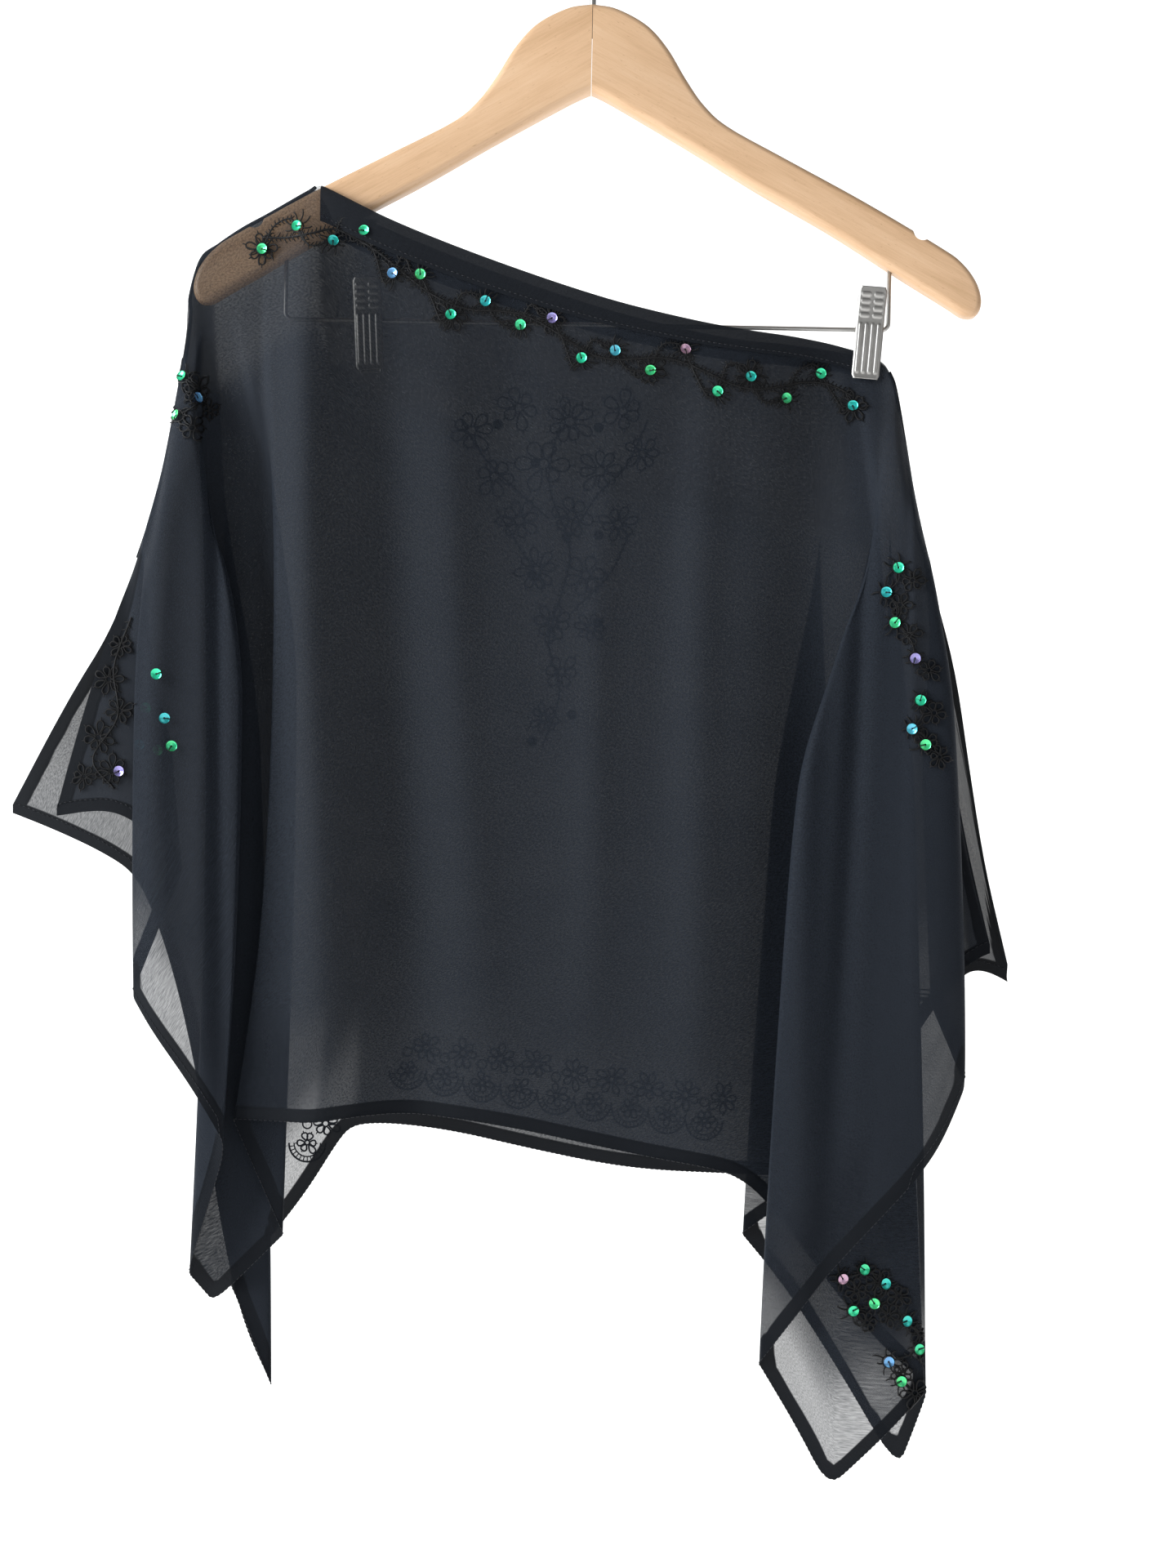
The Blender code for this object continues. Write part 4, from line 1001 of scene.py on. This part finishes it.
def sequin_finish():
    """Iridescent film: the hue comes from each disc's own shade and drifts a little over it."""
    film = Finish("sequin_film", 0.24, {"Metallic": 0.55, "Coat Weight": 0.6, "Coat Roughness": 0.12})
    drift = film.noise(film.place(), 420, 1)
    shade = (film.attribute("shade") + (drift - 0.5) * 0.16).within()
    film.set("Base Color", film.node("ShaderNodeValToRGB", {"stops": SEQUIN_STOPS}, {"Fac": shade}))
    film.set("Roughness", 0.16 + drift * 0.2)
    return film.material


def wood_finish(name, slope):
    """Light beech along an arm: drawn-out growth bands, fine fibres, and short dark flecks."""
    wood = Finish(name, 0.42, {"Coat Weight": 0.35, "Coat Roughness": 0.25})
    place = wood.place((0, slope, 0))
    growth = wood.noise(wood.turned(place, scale=(1, 9, 9)), 9, 3, 0.55)
    fine = wood.noise(wood.turned(place, scale=(1, 26, 26)), 60, 4, 0.7)
    fleck = ((wood.noise(wood.turned(place, scale=(1, 6, 6)), 330, 1, 0.4) - 0.69) * 9).within()
    tone = (growth * 0.65 + fine * 0.35).within()
    colour = wood.node("ShaderNodeValToRGB", {"stops": WOOD_STOPS}, {"Fac": tone})
    wood.set("Base Color", wood.mix(fleck * 0.55, colour, (0.36, 0.17, 0.07, 1)))
    wood.set("Roughness", 0.34 + fine * 0.2)
    wood.bump(fine * 0.6 + fleck * -0.8, 0.0003, 0.35)
    return wood.material


def steel_finish():
    """Satin nickel: a fine cloudy surface with faint rubbing marks."""
    steel = Finish("satin_nickel", 0.4, {"Metallic": 1.0})
    cloud = steel.noise(steel.place(), 160, 3)
    rub = steel.noise(steel.place(scale=(1, 1, 14)), 90, 3, 0.7)
    steel.set("Base Color", steel.mix(cloud, (0.40, 0.39, 0.375, 1), (0.55, 0.54, 0.52, 1)))
    steel.set("Roughness", 0.4 + rub * 0.14)
    steel.bump(rub, 0.0002, 0.25)
    return steel.material


def floor_finish():
    paper = Finish("pale_paper", 0.9, {"Specular IOR Level": 0.1, "Emission Color": (1, 1, 1, 1),
                                       "Emission Strength": PAPER_GLOW})
    grain = paper.noise(paper.place(), 300, 3)
    paper.set("Base Color", paper.mix(grain, (0.56, 0.56, 0.555, 1), (0.60, 0.60, 0.595, 1)))
    paper.bump(grain, 0.0002, 0.1)
    return paper.material


def leant(points, angle):
    """Points turned about the Y axis."""
    x, y, z = np.moveaxis(np.asarray(points, float), -1, 0)
    cos, sin = math.cos(angle), math.sin(angle)
    return stacked(x * cos + z * sin, y, z * cos - x * sin)


def tilted(points):
    """Points of the level hanger, turned about the hook as it hangs."""
    return leant(points, TILT)


def arc(centre_x, centre_z, radius, start, end, steps):
    """Points of an arc in the XZ plane, its angles in degrees from +X."""
    angles = np.radians(np.linspace(start, end, steps + 1))
    return [(centre_x + radius * math.cos(a), 0, centre_z + radius * math.sin(a)) for a in angles]


def wire(name, points, radius, finish, sides, round_end=False):
    """A drawn wire: a ring carried along the points, the last rings narrowing where the end is rounded."""
    path = np.asarray(points, float)
    sizes = np.full(len(path), radius)
    if round_end:
        ahead = unit(path[-1] - path[-2])
        turn = np.radians([20, 40, 60, 78])
        path = np.vstack([path] + [path[-1:] + ahead * radius * math.sin(a) for a in turn])
        sizes = np.concatenate([sizes, radius * np.cos(turn)])
    return cord(name, path, (0, 1, 0), sizes, sides, finish)


def make_wood(side, word, finish):
    """One arm: the outline as a flat form with bull-nosed edges, cut at the joint, with a strap notch.

    Around the notch the outline has a point every 0.4 mm, and nothing there is above the notch's floor:
    z <= NOTCH_Z - sqrt(NOTCH_RADIUS^2 - (x - NOTCH_X)^2).
    """
    right = smooth_curve(ARM_TOP + ARM_UNDER, 8)
    run = run_along(right)
    middle = run[np.argmin(np.hypot(right[:, 0] - NOTCH_X, right[:, 1] - NOTCH_Z))]
    stops = np.unique(np.concatenate([run, middle + np.arange(-10, 10, 0.4)]))
    right = read_at(stops, run, right)
    outline = np.vstack([right, right[-2:0:-1] * (-1, 1)])
    ahead = unit(np.roll(outline, -1, axis=0) - np.roll(outline, 1, axis=0))
    face = outline + WOOD_ROUND * np.stack([ahead[:, 1], -ahead[:, 0]], axis=1)
    shape = bpy.data.curves.new("arm_outline", "CURVE")
    shape.dimensions, shape.fill_mode = "2D", "BOTH"
    shape.extrude = (WOOD_THICKNESS / 2 - WOOD_ROUND) * MM
    shape.bevel_depth, shape.bevel_resolution = WOOD_ROUND * MM, 6
    line = shape.splines.new("POLY")
    line.points.add(len(face) - 1)
    for point, (x, z) in zip(line.points, face):
        point.co = (x * MM, z * MM, 0, 1)
    line.use_cyclic_u = True
    blank = placed("arm_outline", shape)
    bpy.context.view_layer.update()
    seen = blank.evaluated_get(bpy.context.evaluated_depsgraph_get())
    body = bmesh.new()
    body.from_mesh(bpy.data.meshes.new_from_object(seen))
    bpy.data.objects.remove(blank)
    for vert in body.verts:
        vert.co = (vert.co.x, -vert.co.z, vert.co.y)
    bmesh.ops.remove_doubles(body, verts=body.verts, dist=0.00001)
    parts = body.verts[:] + body.edges[:] + body.faces[:]
    cut = bmesh.ops.bisect_plane(body, geom=parts, plane_co=(side * GAP / 2 * MM, 0, 0),
                                 plane_no=(-side, 0, 0), clear_outer=True)
    rim = [part for part in cut["geom_cut"] if isinstance(part, bmesh.types.BMEdge)]
    bmesh.ops.holes_fill(body, edges=rim, sides=0)
    bmesh.ops.recalc_face_normals(body, faces=body.faces)
    for vert in body.verts:
        from_notch = abs(vert.co.x / MM - side * NOTCH_X)
        if from_notch < NOTCH_RADIUS:
            floor = NOTCH_Z - math.sqrt(NOTCH_RADIUS ** 2 - from_notch ** 2)
            vert.co.z = min(vert.co.z, floor * MM)
        vert.co = tilted(vert.co)
    whole = bpy.data.meshes.new(f"wood_{word}")
    body.to_mesh(whole)
    body.free()
    whole.shade_smooth()
    whole.set_sharp_from_angle(angle=math.radians(38))
    whole.materials.append(finish)
    return placed(whole.name, whole)


def hook_points():
    """The wire's middle line: straight out of the wood, a reverse bend, then round over the rail."""
    radius, centre = HOOK_INNER + HOOK_WIRE, -HOOK_INNER
    shank = [(0, 0, HOOK_SEAT - HOOK_DEPTH + 0.5), (0, 0, HOOK_SEAT), (0, 0, HOOK_SEAT + 7)]
    turn = arc(0, centre, radius, -58, 205, 60)
    lead = smooth_curve([shank[-1], (3.2, 0, HOOK_SEAT + 15), turn[0]], 8)[1:-1]
    return np.vstack([shank, lead, turn, np.add(turn[-1], (0.6, 0, -3.0))])


def bar_points():
    """The rail's middle line: up out of one arm's foot, along under both arms, and up into the other."""
    bend = arc(BAR_X - BAR_BEND, BAR_Z + BAR_BEND, BAR_BEND, -90, 0, 10)
    right = bend + [(BAR_X, 0, BAR_TOP - 0.5)]
    return [(-x, y, z) for x, y, z in reversed(right)] + right


def on_clip(points, x, lean):
    """Points of an upright clip, leant on its bar and hung with the hanger."""
    return tilted(leant(points, lean) + (x, 0, BAR_Z))


def plate_relief(w, z, half):
    """Height pressed into a plate: two columns of four pills, four upright ribs below, edges bent in."""
    pitch = half * 2 / 4.4
    across_rib = (w + 1.5 * pitch) / pitch
    nearest = np.clip(np.round(across_rib), 0, 3)
    rib = smooth_step(1.4 - np.abs(across_rib - nearest) / 0.24)
    rib = rib * smooth_step((z + 26.0) / 1.6) * smooth_step((3.0 - z) / 1.6)
    pills = 0
    for centre in (6.8, 10.6, 14.4, 18.2):
        for column in (-1, 1):
            dx = np.maximum(np.abs(w - column * half * 0.47) - half * 0.2, 0)
            pills = np.maximum(pills, smooth_step(1.5 - np.hypot(dx, z - centre)))
    edge = smooth_step((np.abs(w) - half + 1.0) / 1.0)
    return 0.5 * rib + 0.45 * pills - 0.6 * edge


def make_plate(name, width, facing, x, lean, finish):
    """A pressed plate: the side profile across its width, moved out by its relief, with rounded corners."""
    profile = resampled(smooth_curve([(point.z, point.y) for point in CLIP_PROFILE], 10), 0.42)
    half = width / 2
    w = np.linspace(-1, 1, 45)[:, None] * half
    z, y = profile[None, :, 0], profile[None, :, 1]
    near_end = np.minimum(z.max() - z, z - z.min())
    narrow = 1 - 0.12 * (1 - smooth_step(near_end / 2.4))
    relief = plate_relief(w, z, half)
    points = stacked(w * narrow, facing * (y + relief), z)
    piece = mesh_object(name, on_clip(points, x, lean), grid_faces(*points.shape[:2]), finish)
    if facing < 0:
        piece.data.flip_normals()
    wall = piece.modifiers.new("sheet", "SOLIDIFY")
    wall.thickness, wall.offset = CLIP_SHEET * MM, 0
    return piece


def make_ears(name, width, facing, x, lean, finish):
    """The plate's two ears: flat rings round the bar."""
    turn = np.arange(EAR_SIDES) * 2 * math.pi / EAR_SIDES
    verts, faces = [], []
    half = CLIP_SHEET / 2
    for k, side in enumerate((-1, 1)):
        place = side * (width / 2 - CLIP_SHEET)
        for w, radius in ((-half, EAR_HOLE), (-half, CLIP_EAR), (half, CLIP_EAR), (half, EAR_HOLE)):
            shift = CLIP_EAR_SHIFT * facing if radius == CLIP_EAR else 0
            verts.append(stacked(place + w, shift + radius * np.cos(turn), radius * np.sin(turn)))
        index = (4 * k + np.arange(4)[:, None]) * EAR_SIDES + np.arange(EAR_SIDES)
        faces.append(ring_faces(np.vstack([index, index[:1]])))
    piece = mesh_object(name, on_clip(np.concatenate(verts), x, lean), np.concatenate(faces), finish)
    body = bmesh.new()
    body.from_mesh(piece.data)
    bmesh.ops.recalc_face_normals(body, faces=body.faces)
    body.to_mesh(piece.data)
    body.free()
    piece.data.set_sharp_from_angle(angle=math.radians(40))
    return piece


def make_spring(name, x, lean, finish):
    """A wound spring round the bar: a helix, with a straight leg to each plate."""
    t = np.linspace(0, 1, SPRING_TURNS * 20 + 1)
    angle, half = 2 * math.pi * SPRING_TURNS * t, SPRING_HALF
    coil = stacked(-half + 2 * half * t, SPRING_RADIUS * np.sin(angle), SPRING_RADIUS * np.cos(angle))
    leg = np.array([(-half, -3.4, 11.0), (-half, -2.2, 4.0), (-half, -0.6, 2.35)])
    first, last = resampled(leg, 1.0), resampled(leg[::-1] * (-1, -1, 1), 1.0)
    return cord(name, on_clip(np.vstack([first, coil, last]), x, lean), (1, 0, 0), SPRING_WIRE, 8, finish)


def seam_cord(name, sheet, ends, finish):
    """A shoulder seam: both panels' turnings as one soft cord along the top edge."""
    places = np.arange(ends[0] - 2, ends[1] + 3, 2.0)
    path = sheet.edge.at(places)
    path[:, 1] -= sheet.edge.facing * SEAM_HALF
    return cord(name, path, (0, -1, 0), SEAM_RADIUS, 8, finish)


def tree_of(piece):
    """The piece's faces, to look for places on them."""
    return BVHTree.FromPolygons([vert.co.copy() for vert in piece.data.vertices],
                                [tuple(face.vertices) for face in piece.data.polygons])


def neck_embroidery(work):
    """A wavering thorny vine below the neck, with flowers above and below it in turn."""
    x = np.linspace(*VINE_ENDS, 26)
    drop = np.interp(x, *zip(*VINE_DROP)) + VINE_SWING * np.sin((x - VINE_ENDS[0]) / VINE_WAVE)
    neck_x, neck_z, _ = zip(*NECK_FRONT)
    path = work.vine(stacked(x, np.interp(np.maximum(x, VINE_LEVEL), neck_x, neck_z) - drop))
    spots = resampled(path, FLOWER_STEP)
    for k, (fx, fz) in enumerate(spots):
        off = (6.0 if k % 2 else -6.5) + work.chance.uniform(-1.5, 1.5)
        work.flower(fx, fz + off, work.chance.uniform(7.5, 9.5), int(work.chance.integers(9, 12)))
        if k % 3 == 0:
            work.loop_flower(fx, fz + off, 9.0, 7)
        if k + 1 < len(spots):
            nx, nz = spots[k + 1]
            work.vine([(fx, fz + off), (fx + 6, fz - off * 0.9), (nx - 5, nz - off * 1.5), (nx, nz - off)],
                      2.4, 0.5, 2.2)


def cluster(work, flowers, size=7.5):
    """A few flowers at their own places, joined by short thorny stems."""
    for x, z in flowers:
        work.flower(x, z, size * work.chance.uniform(0.85, 1.15), int(work.chance.integers(8, 11)))
        work.loop_flower(x + 8, z - 7, size * work.chance.uniform(0.8, 1.1), 6)
    for (ax, az), (bx, bz) in zip(flowers, flowers[1:]):
        middle = ((ax + bx) / 2 + 3.5, (az + bz) / 2)
        work.vine([(ax, az), middle, (bx, bz)], 2.0, 0.45, 2.4)


def far_motif(work):
    """The far layer's own ornament: a spray of loop flowers on thorny stems, and a scalloped border."""
    for stem in MOTIF_STEMS:
        work.vine(stem, 2.2, 0.5, 2.6)
    for x, z, size in MOTIF_FLOWERS:
        work.loop_flower(x, z, size, int(work.chance.integers(6, 9)))
    for x, z in BORDER_PLACES:
        work.scallop(x, z, BORDER_SIZE)
        work.loop_flower(x, z + 0.5, 6.5, 6)
        work.loop_flower(x + BORDER_SIZE, z + 13 + work.chance.uniform(-2, 2), 8.5, 7)
        work.ring(x, z + 11, 2.6, THREAD_RADIUS)


def lights():
    """A wide window at the left, a weak fill at the right, and an even pale world."""
    bpy.context.scene.view_settings.view_transform = "Standard"
    world = bpy.data.worlds.new("studio")
    bpy.context.scene.world = world
    world.use_nodes = True
    back = world.node_tree.nodes["Background"]
    back.inputs["Color"].default_value = (1.0, 1.0, 1.0, 1)
    back.inputs["Strength"].default_value = WORLD_STRENGTH
    for lamp in LAMPS:
        data = bpy.data.lights.new(lamp.name, "AREA")
        data.shape, data.size, data.size_y = "RECTANGLE", lamp.width, lamp.height
        data.energy, data.color = lamp.energy, lamp.colour
        item = placed(lamp.name, data)
        item.location = lamp.place
        item.rotation_euler = (Vector(lamp.aim) - Vector(lamp.place)).to_track_quat("-Z", "Y").to_euler()


def make_camera():
    """A level camera whose picture is FRAME_HEIGHT high at the hanger's own depth."""
    data = bpy.data.cameras.new("camera")
    data.lens = 36.0 * -EYE[1] / FRAME_HEIGHT
    data.sensor_width = 36.0
    item = placed("camera", data)
    item.location = Vector(EYE) * MM
    item.rotation_euler = (math.radians(90), 0, 0)
    bpy.context.scene.camera = item


def make_floor(finish):
    """A paper sweep: flat below the garment, curved up into a wall behind it."""
    turn = np.radians(np.linspace(-90, 0, 25))
    y = np.concatenate([[-3200], SWEEP_Y + SWEEP_RADIUS * np.cos(turn), [SWEEP_Y + SWEEP_RADIUS]])
    z = np.concatenate([[FLOOR_Z], FLOOR_Z + SWEEP_RADIUS * (1 + np.sin(turn)), [2600]])
    points = stacked(np.array([[-4200.0], [4200.0]]), y, z)
    sweep = mesh_object("paper_sweep", points, grid_faces(2, len(y))[:, ::-1], finish)


def settle(piece, slot, *nodes):
    """The piece rides on the one body and stands for the nodes, which are hidden. The slot is not used."""
    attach(piece, "root")
    if nodes:
        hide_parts(*nodes)
    return piece


def make_hanger():
    steel = steel_finish()
    for side, word, slope in ((-1, "left", WOOD_SLOPE), (1, "right", -WOOD_SLOPE)):
        piece = make_wood(side, word, wood_finish(f"beech_{word}", slope))
        settle(piece, "hanger_wood", f"hanger_wood_{word}")
    settle(wire("hook_wire", tilted(hook_points()), HOOK_WIRE, steel, 24, True), "hanger_steel", "hook")
    settle(wire("rail_wire", tilted(bar_points()), BAR_WIRE, steel, 16), "hanger_steel", "clip_bar")
    for word, x, lean in CLIPS:
        for layer, width, facing in CLIP_SIDES:
            plate = make_plate(f"plate_{word}_{layer}", width, facing, x, lean, steel)
            settle(plate, "hanger_steel", f"clip_{word}_{layer}")
            settle(make_ears(f"ears_{word}_{layer}", width, facing, x, lean, steel), "hanger_steel")
        settle(make_spring(f"spring_{word}", x, lean, steel), "hanger_steel", f"clip_{word}_spring")


def make_garment():
    chance = np.random.default_rng(11)
    front_edge = Edge(-1, SLIT_LEFT_FRONT, SHOULDER_LEFT, NECK_FRONT, SHOULDER_RIGHT, SLIT_RIGHT_FRONT)
    back_edge = Edge(1, SLIT_LEFT_BACK, SHOULDER_LEFT, NECK_BACK, SHOULDER_RIGHT, SLIT_RIGHT_BACK)
    turned, thread = band_finish(), thread_finish("black_thread", (0.003, 0.003, 0.0035, 1), 0.5)
    sewing = thread_finish("sewing_thread", (0.012, 0.013, 0.016, 1), 0.55)
    film = sequin_finish()
    sheets = {}
    for word, falls, edge, creases, seed in (("front", FRONT_FALLS, front_edge, FRONT_CREASES, 3),
                                             ("back", BACK_FALLS, back_edge, BACK_CREASES, 8)):
        sheet = Sheet(f"{word}_chiffon", falls, edge, creases, SHADE_SPANS[word], seed)
        piece = settle(sheet.make(chiffon_finish(f"chiffon_{word}")), "chiffon", f"{word}_panel")
        band, points = sheet.band(turned)
        settle(band, "turned_band", f"{word}_neck_band")
        normals = grid_normals(points) * -edge.facing
        row = len(BAND_ROWS) - 2
        runs = [stitch_run(points[:, row], normals[:, row])]
        hem, hem_normals = sheet.hem_line(HEM - HEM_STITCH)
        for out in (-1, 1):
            runs.append(stitch_run(hem, hem_normals * out, 1.9, 1.0, 0.2, 0.3))
        sewn = settle(mesh_object(f"{word}_stitches", *joined(runs), sewing), "turned_band")
        sheets[word] = (sheet, piece, [band, sewn])
    near, far = sheets["front"], sheets["back"]
    for ends, word in ((front_edge.seam_left, "left"), (front_edge.seam_right, "right")):
        near[2].append(settle(seam_cord(f"seam_{word}", near[0], ends, turned), "turned_band"))
    near_tree, far_tree = tree_of(near[1]), tree_of(far[1])
    work = Stitching(near_tree, 0, WORK_LIFT, chance)
    neck_embroidery(work)
    for flowers in NEAR_CLUSTERS:
        cluster(work, flowers)
    work.vine(FLAP_STEM, 2.6, 0.55, 2.4)
    for x, z, size in FLAP_FLOWERS:
        work.loop_flower(x, z, size, 7)
    work.centres += OUTER_SEQUINS
    inner = Stitching(near_tree, 1, WORK_LIFT, chance)
    inner.centres += FOLD_SEQUINS
    behind = Stitching(far_tree, 0, -WORK_LIFT, chance)
    far_motif(behind)
    behind.centres += FAR_SEQUINS
    for word, layers, owner in (("front", (work, inner), near), ("back", (behind,), far)):
        seen = [layer.seen(layer.centres) for layer in layers]
        places, normals = (np.concatenate(part) for part in zip(*seen))
        frames = leaning_frames(normals, chance)
        shades = np.resize(SEQUIN_SHADES, len(places))
        pieces = (mesh_object(f"{word}_ties", *sequin_ties(places, frames), thread),
                  layers[0].make(f"{word}_embroidery", thread),
                  sequins(f"{word}_sequins", places, frames, shades, film))
        owner[2].extend(settle(piece, "turned_band") for piece in pieces)


make_camera()
lights()
make_floor(floor_finish())
make_hanger()
make_garment()
